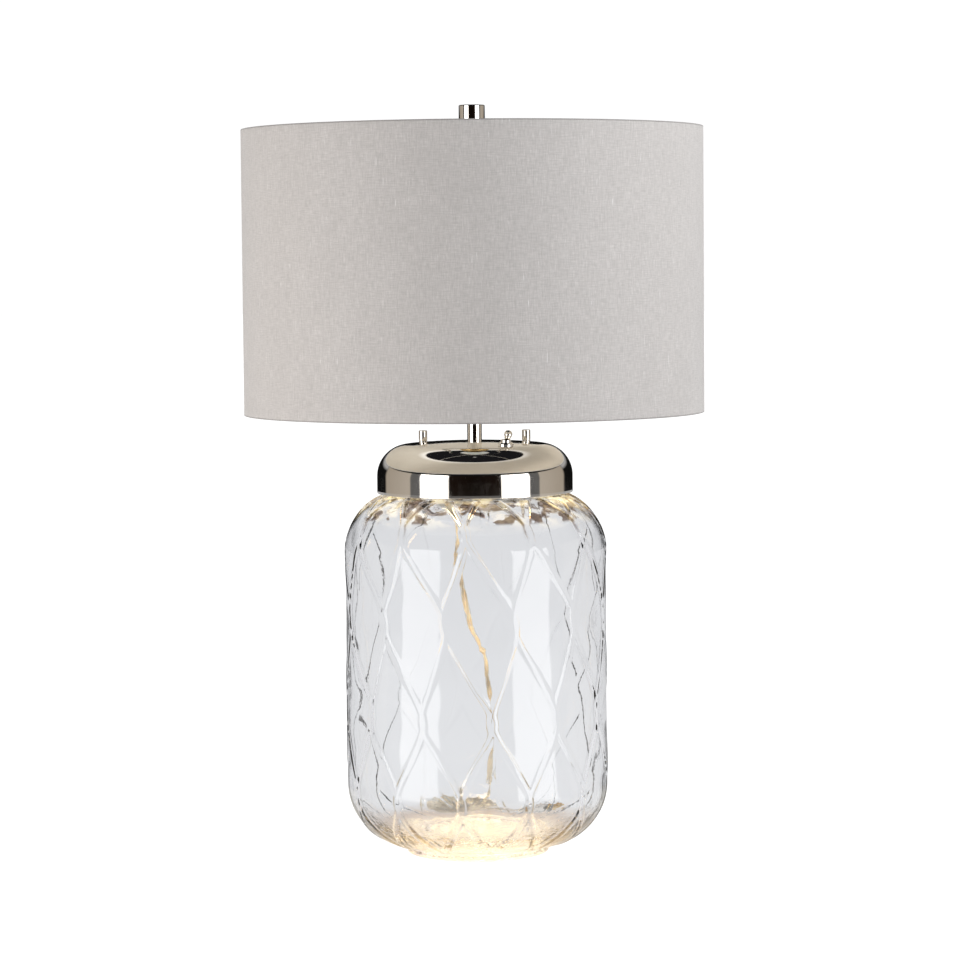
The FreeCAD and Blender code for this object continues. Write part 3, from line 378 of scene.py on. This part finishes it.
def copper_strands():
    made, tree, shader = material("golden_strands")
    point = object_point(tree)
    lay = noise(tree, stretched(tree, point, (1.0, 1.0, 0.3)), 1800.0, 3.0, 0.6)
    gold = colour_mix(tree, spread(tree, lay, 0.3, 0.7), rgba(1.0, 0.84, 0.54), rgba(0.86, 0.60, 0.30))
    z = node(tree, "SeparateXYZ", {0: point}).outputs["Z"]
    # Painted light: the strands are paler low down in the coil and gold up the drop, and give off light, most
    # up the drop.
    hanging = spread(tree, z, 0.035, 0.10)
    gold = colour_mix(tree, hanging, rgba(0.95, 0.86, 0.72), gold)
    painted_glow = spread(tree, noise(tree, point, 45.0, 3.0, 0.6), 0.35, 0.65, 0.05, 0.85)
    set_inputs(shader, tree, Base_Color=gold, Metallic=0.1, Emission_Color=gold,
               Emission_Strength=math_node(tree, "MULTIPLY", painted_glow, spread(tree, z, 0.035, 0.10, 0.35, 1.0)),
               Roughness=spread(tree, lay, 0.3, 0.7, 0.25, 0.45),
               Normal=bump(tree, lay, 0.6, 0.0004))
    return made


# ---- Sizes, from the frame ----
def half_width(name):
    low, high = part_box(name)
    return (high[0] - low[0]) / 2


def span(name):
    low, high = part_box(name)
    return low[2], high[2]


SHADE_RADIUS = half_width("shade_fabric")
SHADE_LOW, SHADE_HIGH = span("shade_fabric")
JAR_RADIUS = half_width("glass_jar")
JAR_HEIGHT = span("glass_jar")[1]
CAP_RADIUS = half_width("cap_dome")
CAP_LOW, CAP_HIGH = span("cap_dome")


# ---- Mesh helpers ----
def new_object(name, points, faces, finish, body, sharp_deg=40.0):
    """A smooth mesh, sharp where its faces turn by more than sharp_deg; if a body is named, it rides on it."""
    mesh = bpy.data.meshes.new(name)
    mesh.from_pydata([tuple(p) for p in points], [], faces)
    mesh.polygons.foreach_set("use_smooth", [True] * len(mesh.polygons))
    mesh.set_sharp_from_angle(angle=math.radians(sharp_deg))
    mesh.materials.append(finish)
    made = bpy.data.objects.new(name, mesh)
    bpy.context.scene.collection.objects.link(made)
    if body:
        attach(made, body)
    return made


def grid_faces(rows, columns, wrap=False):
    """Quads between rings of points, each ring closed on itself."""
    r = np.arange(rows if wrap else rows - 1)[:, None] * columns
    above = (r + columns) % (rows * columns)
    c = np.arange(columns)[None, :]
    after = (c + 1) % columns
    return np.stack([r + c, r + after, above + after, above + c], -1).reshape(-1, 4).tolist()


def ring_points(radii, heights, columns):
    """Rings of points about the axis; radii and heights may be one per row or one per point."""
    turn = np.linspace(0, 2 * math.pi, columns, endpoint=False)
    radii = np.asarray(radii, float).reshape(len(radii), -1)
    heights = np.asarray(heights, float).reshape(len(heights), -1) + np.zeros((1, columns))
    x = radii * np.sin(turn)
    y = -radii * np.cos(turn)
    return np.stack([x, y, heights], -1).reshape(-1, 3)


def arc(centre, radius, start_deg, end_deg, steps):
    """Points of (radius, height) round part of a circle."""
    turns = np.radians(np.linspace(start_deg, end_deg, steps))
    return [(centre[0] + radius * math.cos(a), centre[1] + radius * math.sin(a)) for a in turns]


def lathe(name, outline, finish, body, columns=128, place=(0.0, 0.0)):
    """Turned piece from (radius, height) points, closed on the axis or back to its start."""
    on_axis = outline[0][0] < 1e-9 and outline[-1][0] < 1e-9
    ring = outline[1:-1] if on_axis else outline
    points = ring_points([p[0] for p in ring], [p[1] for p in ring], columns)
    faces = grid_faces(len(ring), columns, wrap=not on_axis)
    if on_axis:
        last = len(points) - columns
        points = np.vstack([points, [0, 0, outline[0][1]], [0, 0, outline[-1][1]]])
        faces += [[c, len(points) - 2, (c + 1) % columns] for c in range(columns)]
        faces += [[last + (c + 1) % columns, len(points) - 1, last + c] for c in range(columns)]
    points = points + np.array([place[0], place[1], 0.0])
    return new_object(name, points, faces, finish, body)


def finish_node(name, finish):
    """A better material on a CAD node that keeps its shape."""
    for place in frame["nodes"][name].material_slots:
        place.material = finish


# ---- Cord: first of the pieces ----
CORD_DIAMETER = 0.005
CORD_EXIT = (-15.2, 108.4, 322.2)
CORD_DROP = [
    (-17.2, 123.0, 313.7),
    (-18.2, 132.4, 297.3),
    (-14.5, 133.5, 266.0),
    (-17.5, 131.5, 229.0),
    (-9.0, 130.5, 190.0),
    (8.0, 130.0, 158.0),
    (12.0, 129.0, 119.0),
    (11.5, 128.2, 80.0),
    (12.5, 128.6, 47.0),
    (13.0, 134.6, 31.5),
    (12.0, 145.8, 20.6),
    (5.4, 157.6, 14.9),
]
CORD_TAIL = [(-14.0, 105.0, 3.3), (1.0, 104.8, 3.5), (15.0, 105.2, 5.2), (28.0, 105.0, 6.5)]
COIL_CENTRE = (-14.0, 140.0)
COIL_SLOTS = [
    (25.0, 12.0), (30.3, 12.0),
    (32.7, 7.6), (27.5, 7.6), (22.4, 7.6),
    (25.0, 3.3), (30.0, 3.3), (35.0, 3.3),
]
COIL_START_DEG = 64.0
COIL_END_DEG = 270.0
COIL_STEP_DEG = 20.6
COIL_SHIFT_DEG = 50.0  # of each turn, spent moving over to the next place


def coil_points():
    """The turns of the coil, each moving over to the next slot as it passes the front right."""
    total = COIL_END_DEG + 360 * (len(COIL_SLOTS) - 1) - COIL_START_DEG
    steps = round(total / COIL_STEP_DEG)
    points = []
    for i in range(steps):
        turn = COIL_START_DEG + total * i / steps
        whole, part = divmod(turn + COIL_SHIFT_DEG, 360)
        share = min(part / COIL_SHIFT_DEG, 1.0) if whole else 1.0
        ease = share * share * (3 - 2 * share)
        now = COIL_SLOTS[int(whole)]
        before = COIL_SLOTS[max(int(whole) - 1, 0)]
        radius, height = (b + (n - b) * ease for b, n in zip(before, now))
        a = math.radians(turn)
        points.append((COIL_CENTRE[0] + radius * math.cos(a), COIL_CENTRE[1] + radius * math.sin(a), height))
    return points


def nurbs_curve(name, points):
    data = bpy.data.curves.new(name, "CURVE")
    data.dimensions = "3D"
    spline = data.splines.new("NURBS")
    spline.points.add(len(points) - 1)
    for control, point in zip(spline.points, points):
        control.co = (*(v * MM for v in point), 1.0)
    spline.order_u = 3
    spline.use_endpoint_u = True
    return data


def curve_line(data):
    """The points along a curve that has no bevel."""
    bare = bpy.data.objects.new("bare", data)
    mesh = bpy.data.meshes.new_from_object(bare)
    line = np.array([v.co for v in mesh.vertices])
    bpy.data.meshes.remove(mesh)
    bpy.data.objects.remove(bare)
    return line


STRAND_PITCH = 0.045
STRAND_OFFSET = 0.00098
STRAND_RADIUS = 0.00088
STRAND_SIDES = 10
STRAND_STEP = 0.0035
STRAND_SETBACK = 0.002  # from each end of the cord


def square_to(centre):
    """Two directions square to a line and to each other, carried along it without twist."""
    ahead = np.gradient(centre, axis=0)
    ahead /= np.linalg.norm(ahead, axis=1)[:, None]
    side = np.zeros_like(ahead)
    side[0] = np.cross(ahead[0], (1.0, 0.0, 0.0))
    for i in range(1, len(ahead)):
        side[i] = side[i - 1] - ahead[i] * (side[i - 1] @ ahead[i])
        side[i] /= np.linalg.norm(side[i])
    side[0] /= np.linalg.norm(side[0])
    return side, np.cross(ahead, side)


def twisted_pair(line, finish):
    """Two bundles of golden strands that wind round each other inside the cord."""
    step = np.linalg.norm(np.diff(line, axis=0), axis=1)
    along = np.concatenate([[0], np.cumsum(step)])
    stations = np.linspace(STRAND_SETBACK, along[-1] - STRAND_SETBACK, int(along[-1] / STRAND_STEP))
    centre = np.stack([np.interp(stations, along, line[:, k]) for k in range(3)], -1)
    side, other = square_to(centre)
    around = np.linspace(0, 2 * math.pi, STRAND_SIDES, endpoint=False)[None, :, None]
    ring = np.cos(around) * side[:, None] + np.sin(around) * other[:, None]
    points = []
    faces = []
    for phase in (0.0, math.pi):
        turn = stations / STRAND_PITCH * 2 * math.pi + phase
        core = centre + STRAND_OFFSET * (np.cos(turn)[:, None] * side + np.sin(turn)[:, None] * other)
        tube = core[:, None] + STRAND_RADIUS * ring
        start = len(points) * len(stations) * STRAND_SIDES
        points.append(tube.reshape(-1, 3))
        faces += [[v + start for v in f] for f in grid_faces(len(stations), STRAND_SIDES)]
        faces.append([start + c for c in reversed(range(STRAND_SIDES))])
        faces.append([start + (len(stations) - 1) * STRAND_SIDES + c for c in range(STRAND_SIDES)])
    return new_object("cord_strands", np.vstack(points), faces, finish, "base")


def make_cord():
    data = nurbs_curve("mains_cord", [CORD_EXIT, *CORD_DROP, *coil_points(), *CORD_TAIL])
    strands = twisted_pair(curve_line(data), copper_strands())
    data.bevel_depth = CORD_DIAMETER / 2
    data.bevel_resolution = 4
    data.use_fill_caps = True
    data.materials.append(clear_pvc())
    cord = bpy.data.objects.new("mains_cord", data)
    bpy.context.scene.collection.objects.link(cord)
    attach(cord, "base")
    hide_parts("cord_drop", "cord_coil", "cord_tail")


make_cord()


# ---- Glass jar ----
RELIEF = 0.0007
TRAIL_HALF_WIDTH = 0.0040
TRAIL_EDGE = 0.0026
NECK_GATHER = 2.4  # how much deeper the trails are where they gather at the neck
RIB_COUNT = 24
WAVE_DEG = 7.5
LATTICE_DEG = 23.0
TWIST_DEG = -13.0
TWIST_LOW, TWIST_HIGH = 0.057, 0.292
CROSSING_ALONG = [-0.083, 0.0, 0.071, 0.156, 0.236, 0.278]  # metres along the glass, and the row there
CROSSING_ROW = [-1.08, 0.0, 1.0, 2.0, 3.0, 3.62]
ROW_SPACING = 0.079
GLASS_COLUMNS = 840
GLASS_STEP = 0.0010
OUTSIDE_WAVE = 0.00012
INSIDE_WAVE = 0.00018
HEEL_RADIUS = 0.056
HEEL_Z = 0.062
SHOULDER_RADIUS = 0.054
SHOULDER_Z = 0.268
NECK_RADIUS = 0.080
NECK_BORE = 0.074
FOOT_RADIUS = 0.063
FOOT_INNER = 0.051
INNER_FLOOR_Z = 0.016
INNER_HEEL = 0.046
GLASS_WALL = 0.0032
FOOT_EDGE = 0.0015
PUSH_UP_Z = 0.010
MIDDLE = 0.0005  # radius of the smallest ring before the surface closes on the axis


def outer_profile(step):
    """(radius, height, distance along the glass from the lowest row of crossings) up the outside."""
    start = -math.degrees(math.acos((FOOT_RADIUS - JAR_RADIUS + HEEL_RADIUS) / HEEL_RADIUS))
    heel = arc((JAR_RADIUS - HEEL_RADIUS, HEEL_Z), HEEL_RADIUS, start, 0, round(1.52 * HEEL_RADIUS / step))
    neck = math.degrees(math.acos((NECK_RADIUS - JAR_RADIUS + SHOULDER_RADIUS) / SHOULDER_RADIUS))
    rows = round((SHOULDER_Z - HEEL_Z) / step)
    wall = [(JAR_RADIUS, z) for z in np.linspace(HEEL_Z, SHOULDER_Z, rows)[1:-1]]
    shoulder = arc((JAR_RADIUS - SHOULDER_RADIUS, SHOULDER_Z), SHOULDER_RADIUS, 0, neck,
                   round(math.radians(neck) * SHOULDER_RADIUS / step))
    line = np.array(heel + wall + shoulder)
    along = np.concatenate([[0], np.cumsum(np.linalg.norm(np.diff(line, axis=0), axis=1))])
    return line, along - np.interp(TWIST_LOW, line[:, 1], along)


def lattice(along, height):
    """Where a point stands between the rows of crossings, and how far the lattice has turned there."""
    row = np.interp(along, CROSSING_ALONG, CROSSING_ROW)
    lift = np.clip((height - TWIST_LOW) / (TWIST_HIGH - TWIST_LOW), 0, 1.1)
    return row, LATTICE_DEG - WAVE_DEG + TWIST_DEG * lift**1.7


def soft_noise(theta, along, seed, waves=7, length=0.05):
    """Smooth unevenness of about 1 in size, the same each run."""
    random = np.random.default_rng(seed)
    total = np.zeros(np.broadcast(theta, along).shape)
    for _ in range(waves):
        lobes = random.integers(2, 15)
        rate = random.normal() * 2 * math.pi / length / 2
        total += np.sin(lobes * theta + rate * along + random.random() * 2 * math.pi)
    return total / waves**0.5


def trail_height(theta, along, height, radius):
    """Height of the glass trails over the plain wall, from 0 to 1."""
    row, phase = lattice(along, height)
    spacing = 360.0 / RIB_COUNT
    degrees = np.degrees(theta)
    wobble = 0.35 * soft_noise(theta, along, 5)
    best = np.zeros(np.broadcast(theta, along).shape)
    for parity in (0, 1):
        swing = WAVE_DEG * (np.cos(np.pi * row) + 0.06 * np.cos(3 * np.pi * row)) * (1 if parity == 0 else -1)
        slope = WAVE_DEG * np.pi * np.sin(np.pi * row) / ROW_SPACING
        offset = degrees - phase - swing - spacing * parity + wobble
        nearest = offset - 2 * spacing * np.round(offset / (2 * spacing))
        across = np.radians(nearest) * radius
        lean = np.radians(slope) * radius
        distance = np.abs(across) / np.sqrt(1 + lean**2)
        width = TRAIL_HALF_WIDTH * (1 + 0.12 * soft_noise(theta, along, 11 + parity))
        inside = np.clip((width - distance) / TRAIL_EDGE, 0, 1)
        best = np.maximum(best, inside**2 * (3 - 2 * inside))
    return best


def outward(line):
    """Unit normals of a profile, pointing out of the glass."""
    ahead = np.gradient(line, axis=0)
    ahead /= np.linalg.norm(ahead, axis=1)[:, None]
    return np.stack([ahead[:, 1], -ahead[:, 0]], -1)


def away_from(line, stand):
    """Radii and heights of the rings that stand off a profile, by a distance given all round it."""
    normal = outward(line)
    return line[:, 0:1] + normal[:, 0:1] * stand, line[:, 1:2] + normal[:, 1:2] * stand


def jar_outside(theta):
    """Radii and heights of the rings up the outside, and the height of the trails there, from 0 to 1."""
    line, along = outer_profile(GLASS_STEP)
    height = line[:, 1:2]
    ends = [along[0], along[0] + 0.012, along[-1] - 0.004, along[-1]]
    fade = np.interp(along, ends, [0.25, 1, 1, 0.0])[:, None]
    trail = fade * trail_height(theta, along[:, None], height, line[:, 0:1])
    gather = np.interp(height, [0.272, 0.298], [1.0, NECK_GATHER])
    unevenness = OUTSIDE_WAVE * (soft_noise(theta, along[:, None], 3) - 1)
    stand = RELIEF * gather * (trail - 1) + unevenness
    radii, heights = away_from(line, np.minimum(stand, 0))
    return radii, heights, trail


def jar_inside(theta):
    """Radii and heights of the rings down the inside, from the neck's bore to the floor of the jar."""
    wall = JAR_RADIUS - RELIEF - GLASS_WALL
    shoulder = SHOULDER_RADIUS - RELIEF - GLASS_WALL
    heel_z = INNER_FLOOR_Z + INNER_HEEL
    bore = math.degrees(math.acos((NECK_BORE - wall + shoulder) / shoulder))
    line = arc((wall - shoulder, SHOULDER_Z), shoulder, bore, 0, 26)
    line += [(wall, z) for z in np.linspace(SHOULDER_Z, heel_z, 60)[1:-1]]
    line += arc((wall - INNER_HEEL, heel_z), INNER_HEEL, 0, -90, 30)
    line += [(r, INNER_FLOOR_Z) for r in np.linspace(wall - INNER_HEEL, MIDDLE, 16)[1:]]
    line = np.array(line)
    down = np.concatenate([[0], np.cumsum(np.linalg.norm(np.diff(line, axis=0), axis=1))])[:, None]
    calm = np.interp(line[:, 0:1], [0.0, 0.05], [0.0, 1.0])
    wave = INSIDE_WAVE * soft_noise(theta, -down, 21, 9) * calm
    return away_from(line, -wave)


def jar_foot():
    """Underside, pushed up in the middle, and the ring that the lamp stands on."""
    foot = [(MIDDLE, PUSH_UP_Z), (0.020, 0.0097), (0.038, 0.0086), (FOOT_INNER - FOOT_EDGE, 0.0055)]
    foot += arc((FOOT_INNER + 0.001, FOOT_EDGE), FOOT_EDGE, 180, 270, 4)
    foot += arc((FOOT_RADIUS - FOOT_EDGE, FOOT_EDGE), FOOT_EDGE, -90, 0, 5)
    return np.array([*foot, (FOOT_RADIUS, 0.0045)])


def jar_neck():
    """Rim of the neck, with its edges melted round."""
    neck = [(NECK_RADIUS, 0.3215), (NECK_RADIUS - 0.0006, 0.3234), (0.0785, JAR_HEIGHT)]
    return np.array([*neck, (0.0755, JAR_HEIGHT), (0.0743, 0.3234), (NECK_BORE, 0.3215)])


def make_jar():
    theta = np.linspace(0, 2 * math.pi, GLASS_COLUMNS, endpoint=False)[None, :]
    round_it = np.ones((1, GLASS_COLUMNS))
    foot = jar_foot()
    neck = jar_neck()
    outer_r, outer_z, trail = jar_outside(theta)
    inner_r, inner_z = jar_inside(theta)
    radii = np.vstack([foot[:, 0:1] * round_it, outer_r, neck[:, 0:1] * round_it, inner_r])
    heights = np.vstack([foot[:, 1:2] * round_it, outer_z, neck[:, 1:2] * round_it, inner_z])
    points = ring_points(radii, heights, GLASS_COLUMNS)
    faces = grid_faces(len(radii), GLASS_COLUMNS)
    last = len(points) - GLASS_COLUMNS
    points = np.vstack([points, [0, 0, PUSH_UP_Z], [0, 0, INNER_FLOOR_Z]])
    faces += [[(c + 1) % GLASS_COLUMNS, c, len(points) - 2] for c in range(GLASS_COLUMNS)]
    faces += [[last + c, last + (c + 1) % GLASS_COLUMNS, len(points) - 1] for c in range(GLASS_COLUMNS)]
    jar = new_object("jar_of_clear_glass", points, faces, jar_glass(), "base", 75.0)
    marks = np.zeros(len(points))
    first = len(foot) * GLASS_COLUMNS
    marks[first:first + trail.size] = trail.ravel()
    jar.data.attributes.new("trail", "FLOAT", "POINT").data.foreach_set("value", marks)
    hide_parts("glass_jar")


make_jar()


# ---- Nickel cap, stem, nuts, toggle and finial ----
NICKEL = polished_nickel()
CAP_SHOULDER = 0.028
CAP_CROWN = 0.700
CAP_SHEET = 0.0012


def make_cap():
    """Spun dome with a rolled lower edge."""
    centre_r = CAP_RADIUS - CAP_SHOULDER
    crown_z = CAP_HIGH - CAP_CROWN
    centre_z = crown_z + math.sqrt((CAP_CROWN - CAP_SHOULDER) ** 2 - centre_r**2)
    edge = math.degrees(math.atan2(centre_z - crown_z, centre_r))
    hole = half_width("lamp_rod")
    hole_deg = math.degrees(math.acos(hole / CAP_CROWN))
    lip = CAP_SHEET / 2
    outline = arc((CAP_RADIUS - lip, CAP_LOW + lip), lip, -180, 0, 10)
    outline += [(CAP_RADIUS, z) for z in np.linspace(CAP_LOW + lip, centre_z, 8)[1:-1]]
    outline += arc((centre_r, centre_z), CAP_SHOULDER, 0, edge, 48)
    outline += arc((0.0, crown_z), CAP_CROWN, edge, hole_deg, 24)[1:]
    outline += arc((0.0, crown_z), CAP_CROWN - CAP_SHEET, hole_deg, edge, 12)
    outline += arc((centre_r, centre_z), CAP_SHOULDER - CAP_SHEET, edge, 0, 24)
    cap = lathe("nickel_cap", outline, polished_nickel("cap_nickel", True), "base", 320)
    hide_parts("cap_dome")


def turned_rod(name, replaced, body, edge, columns=96):
    """Plain cylinder the size of its CAD node, with softened rims."""
    low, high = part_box(replaced)
    radius = (high[0] - low[0]) / 2
    centre = ((low[0] + high[0]) / 2, (low[1] + high[1]) / 2)
    outline = [(0.0, low[2]), (radius - edge, low[2])]
    outline += arc((radius - edge, low[2] + edge), edge, -90, 0, 6)[1:]
    outline += arc((radius - edge, high[2] - edge), edge, 0, 90, 6)
    outline += [(0.0, high[2])]
    made = lathe(name, outline, NICKEL, body, columns, centre)
    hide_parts(replaced)


make_cap()
turned_rod("nickel_finial", "finial", "finial_knob", 0.0008)
turned_rod("thumb_nut_a", "thumb_nut_left", "thumb_nut_l", 0.0003, 64)
turned_rod("thumb_nut_b", "thumb_nut_right", "thumb_nut_r", 0.0003, 64)


# ---- Shade ----
FABRIC_SHEET = 0.0008
SHADE_COLUMNS = 720


def make_shade_cloth():
    """One strip of cloth round the drum, rolled over both rims."""
    outer = SHADE_RADIUS - 0.0001
    inner = SHADE_RADIUS - FABRIC_SHEET
    roll = (outer - inner) / 2
    outline = arc((inner + roll, SHADE_LOW + roll), roll, 180, 360, 8)
    outline += [(outer, z) for z in np.linspace(SHADE_LOW + roll, SHADE_HIGH - roll, 60)[1:-1]]
    outline += arc((inner + roll, SHADE_HIGH - roll), roll, 0, 180, 8)
    outline += [(inner, z) for z in np.linspace(SHADE_HIGH - roll, SHADE_LOW + roll, 20)[1:-1]]
    cloth = lathe("shade_cloth", outline, slubbed_silk(), "shade", SHADE_COLUMNS)
    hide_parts("shade_fabric")


make_shade_cloth()


# ---- CAD nodes that keep their shape ----
STEEL = plated_steel()
BRASS = bright_brass()
DARK = plastic("phenolic", rgba(0.05, 0.045, 0.04), rgba(0.03, 0.028, 0.026), 0.4)
WHITE = plastic("white_moulding", rgba(0.85, 0.85, 0.83), rgba(0.78, 0.78, 0.76), 0.35)
ENAMEL = plastic("white_enamel", rgba(0.86, 0.85, 0.82), rgba(0.80, 0.79, 0.76), 0.3, 200.0)
SILICONE = plastic("silicone", rgba(0.72, 0.72, 0.71), rgba(0.64, 0.64, 0.63), 0.5)
BOARD = plastic("circuit_board", rgba(0.86, 0.87, 0.85), rgba(0.80, 0.81, 0.79), 0.4, 300.0)
FISHPAPER = plastic("fishpaper", rgba(0.55, 0.42, 0.26), rgba(0.47, 0.35, 0.21), 0.75, 350.0)
PVC = clear_pvc()
ALUMINIUM = anodised()
LIT = led_light()
FINISHES = {
    "nickel": NICKEL,
    "steel": STEEL,
    "wire_white": ENAMEL,
    "brass": BRASS,
    "rubber": SILICONE,
    "led_body": ALUMINIUM,
    "led_board": BOARD,
    "led_light": LIT,
    "insulation": FISHPAPER,
    "phenolic": DARK,
    "driver_case": WHITE,
    "bulb_opal": opal_glass(),
    "lining": shade_lining(),
    "clear_pvc": PVC,
    "tie": WHITE,
    "wire": WHITE,
}
for part in frame["record"]["subparts"]:
    if part["material_slot"] in FINISHES:
        finish_node(part["node"], FINISHES[part["material_slot"]])


# ---- Studio ----
def flat_card(name, centre, size, finish):
    x, y, z = centre
    w, d = size[0] / 2, size[1] / 2
    corners = [(x - w, y - d, z), (x + w, y - d, z), (x + w, y + d, z), (x - w, y + d, z)]
    card = new_object(name, corners, [[0, 1, 2, 3]], finish, None)


SOFTBOX = (4.2, 4.2, 4.2)
BAND_STOPS = [
    (0.0, (0.006, 0.004, 0.003)),
    (0.168, (0.012, 0.007, 0.005)),
    (0.180, SOFTBOX),
    (0.362, SOFTBOX),
    (0.374, (0.13, 0.13, 0.135)),
    (0.445, (0.14, 0.14, 0.14)),
    (0.455, (0.52, 0.47, 0.41)),
    (0.70, (0.42, 0.37, 0.31)),
    (0.725, (0.006, 0.006, 0.006)),
]


def studio_bands(tree):
    """Upright bands round the lamp: dark in front, a softbox either side, grey flags, then tan walls."""
    x, y, z = node(tree, "SeparateXYZ", {0: object_point(tree)}).outputs
    turn = math_node(tree, "ARCTAN2", x, math_node(tree, "MULTIPLY", y, -1.0))
    share = math_node(tree, "DIVIDE", math_node(tree, "ABSOLUTE", turn), math.pi)
    bands = node(tree, "ValToRGB", {0: share})
    ramp = bands.color_ramp
    while len(ramp.elements) < len(BAND_STOPS):
        ramp.elements.new(0.5)
    for element, (place, colour) in zip(ramp.elements, BAND_STOPS):
        element.position = place
        element.color = rgba(*colour)
    return share, bands.outputs["Color"], z


BEYOND_GLASS = (0.72, 0.72, 0.75)
POOL_EDGE = (0.56, 0.43, 0.34)
POOL_MIDDLE = (0.98, 0.87, 0.60)


def make_floor():
    """White sweep that burns out to the backdrop, and greyer through glass, with a painted pool of the lamp's
    light.
    """
    made, tree, shader = material("pale_floor")
    cloud = noise(tree, object_point(tree), 3.0, 3.0)
    path = node(tree, "LightPath")
    x, y, z = node(tree, "SeparateXYZ", {0: object_point(tree)}).outputs
    away = from_axis(tree, x, y)
    # Painted pool of light: through the glass, the floor under the jar turns warm and bright towards the
    # middle.
    through = colour_mix(tree, spread(tree, away, 0.16, 0.10), rgba(*BEYOND_GLASS), rgba(*POOL_EDGE))
    through = colour_mix(tree, spread(tree, away, 0.085, 0.03), through, rgba(*POOL_MIDDLE))
    share, bands, _ = studio_bands(tree)
    mirrored = colour_mix(tree, spread(tree, share, 0.60, 0.75), bands, rgba(0.40, 0.40, 0.41))
    mirrored = colour_mix(tree, spread(tree, away, 0.30, 0.42), rgba(0.75, 0.72, 0.66), mirrored)
    tone = colour_mix(tree, path.outputs["Is Camera Ray"], rgba(0.95, 0.95, 0.95), rgba(1.15, 1.15, 1.15))
    tone = colour_mix(tree, path.outputs["Is Glossy Ray"], tone, mirrored)
    tone = colour_mix(tree, path.outputs["Is Transmission Ray"], tone, through)
    paint = colour_mix(tree, cloud, rgba(0.20, 0.20, 0.20), rgba(0.18, 0.18, 0.18))
    set_inputs(shader, tree, Base_Color=paint, Roughness=0.8, Specular_IOR_Level=0.0,
               Emission_Color=tone, Emission_Strength=0.9)
    flat_card("floor", (0.0, 0.0, -0.0002), (60.0, 60.0), made)


def studio_light(name, place, target, size, power, colour):
    data = bpy.data.lights.new(name, "AREA")
    data.shape = "RECTANGLE"
    data.size, data.size_y = size
    data.energy = power
    data.color = colour
    lamp = bpy.data.objects.new(name, data)
    bpy.context.scene.collection.objects.link(lamp)
    lamp.location = place
    lamp.rotation_mode = "QUATERNION"
    lamp.rotation_quaternion = (Vector(target) - Vector(place)).to_track_quat("-Z", "Y")
    lamp.visible_glossy = False
    lamp.visible_transmission = False


DOME_RADIUS = 4.2
DOME_ROWS = 24
DOME_COLUMNS = 96


def make_surround():
    """What polished pieces mirror: the studio's bands, grey high up behind, and a dark ceiling."""
    made, tree, _ = material("studio_surround")
    tree.nodes.clear()
    share, bands, z = studio_bands(tree)
    behind = math_node(tree, "MULTIPLY", spread(tree, share, 0.70, 0.73), spread(tree, z, 0.9, 1.2))
    tone = colour_mix(tree, behind, bands, rgba(0.45, 0.45, 0.46))
    high = spread(tree, z, 1.42, 1.50)
    tone = colour_mix(tree, high, tone, rgba(0.012, 0.012, 0.014))
    glow = node(tree, "Emission", {"Color": tone, "Strength": 1.0})
    node(tree, "OutputMaterial", {"Surface": glow.outputs[0]})
    slant = np.linspace(-0.12, math.pi / 2 - 0.02, DOME_ROWS)
    points = ring_points(DOME_RADIUS * np.cos(slant), DOME_RADIUS * np.sin(slant), DOME_COLUMNS)
    dome = new_object("surround", points, grid_faces(DOME_ROWS, DOME_COLUMNS), made, None)
    for ray in ("camera", "diffuse", "transmission", "volume_scatter", "shadow"):
        setattr(dome, "visible_" + ray, False)


def make_world():
    world = bpy.data.worlds.new("studio")
    world.use_nodes = True
    tree = world.node_tree
    tree.nodes.clear()
    path = node(tree, "LightPath")
    tone = colour_mix(tree, path.outputs["Is Transmission Ray"], rgba(0.58, 0.58, 0.58), rgba(*BEYOND_GLASS))
    tone = colour_mix(tree, path.outputs["Is Camera Ray"], tone, rgba(1.02, 1.02, 1.02))
    shade = node(tree, "Background", {"Color": tone, "Strength": 1.0})
    node(tree, "OutputWorld", {"Surface": shade.outputs[0]})
    bpy.context.scene.world = world


make_floor()
make_surround()
make_world()
studio_light("key_left", (-1.4, -0.45, 0.16), (0, 0, 0.42), (0.8, 0.3), 9.5, (1.0, 0.94, 0.87))
studio_light("key_right", (1.3, -0.42, 1.5), (0, 0, 0.5), (0.7, 0.8), 19.0, (0.97, 0.99, 1.0))
scene = bpy.context.scene
scene.view_settings.view_transform = "Standard"
scene.cycles.max_bounces = 32
scene.cycles.transmission_bounces = 28
scene.cycles.glossy_bounces = 8
scene.cycles.transparent_max_bounces = 16
scene.cycles.caustics_reflective = True
scene.cycles.caustics_refractive = True
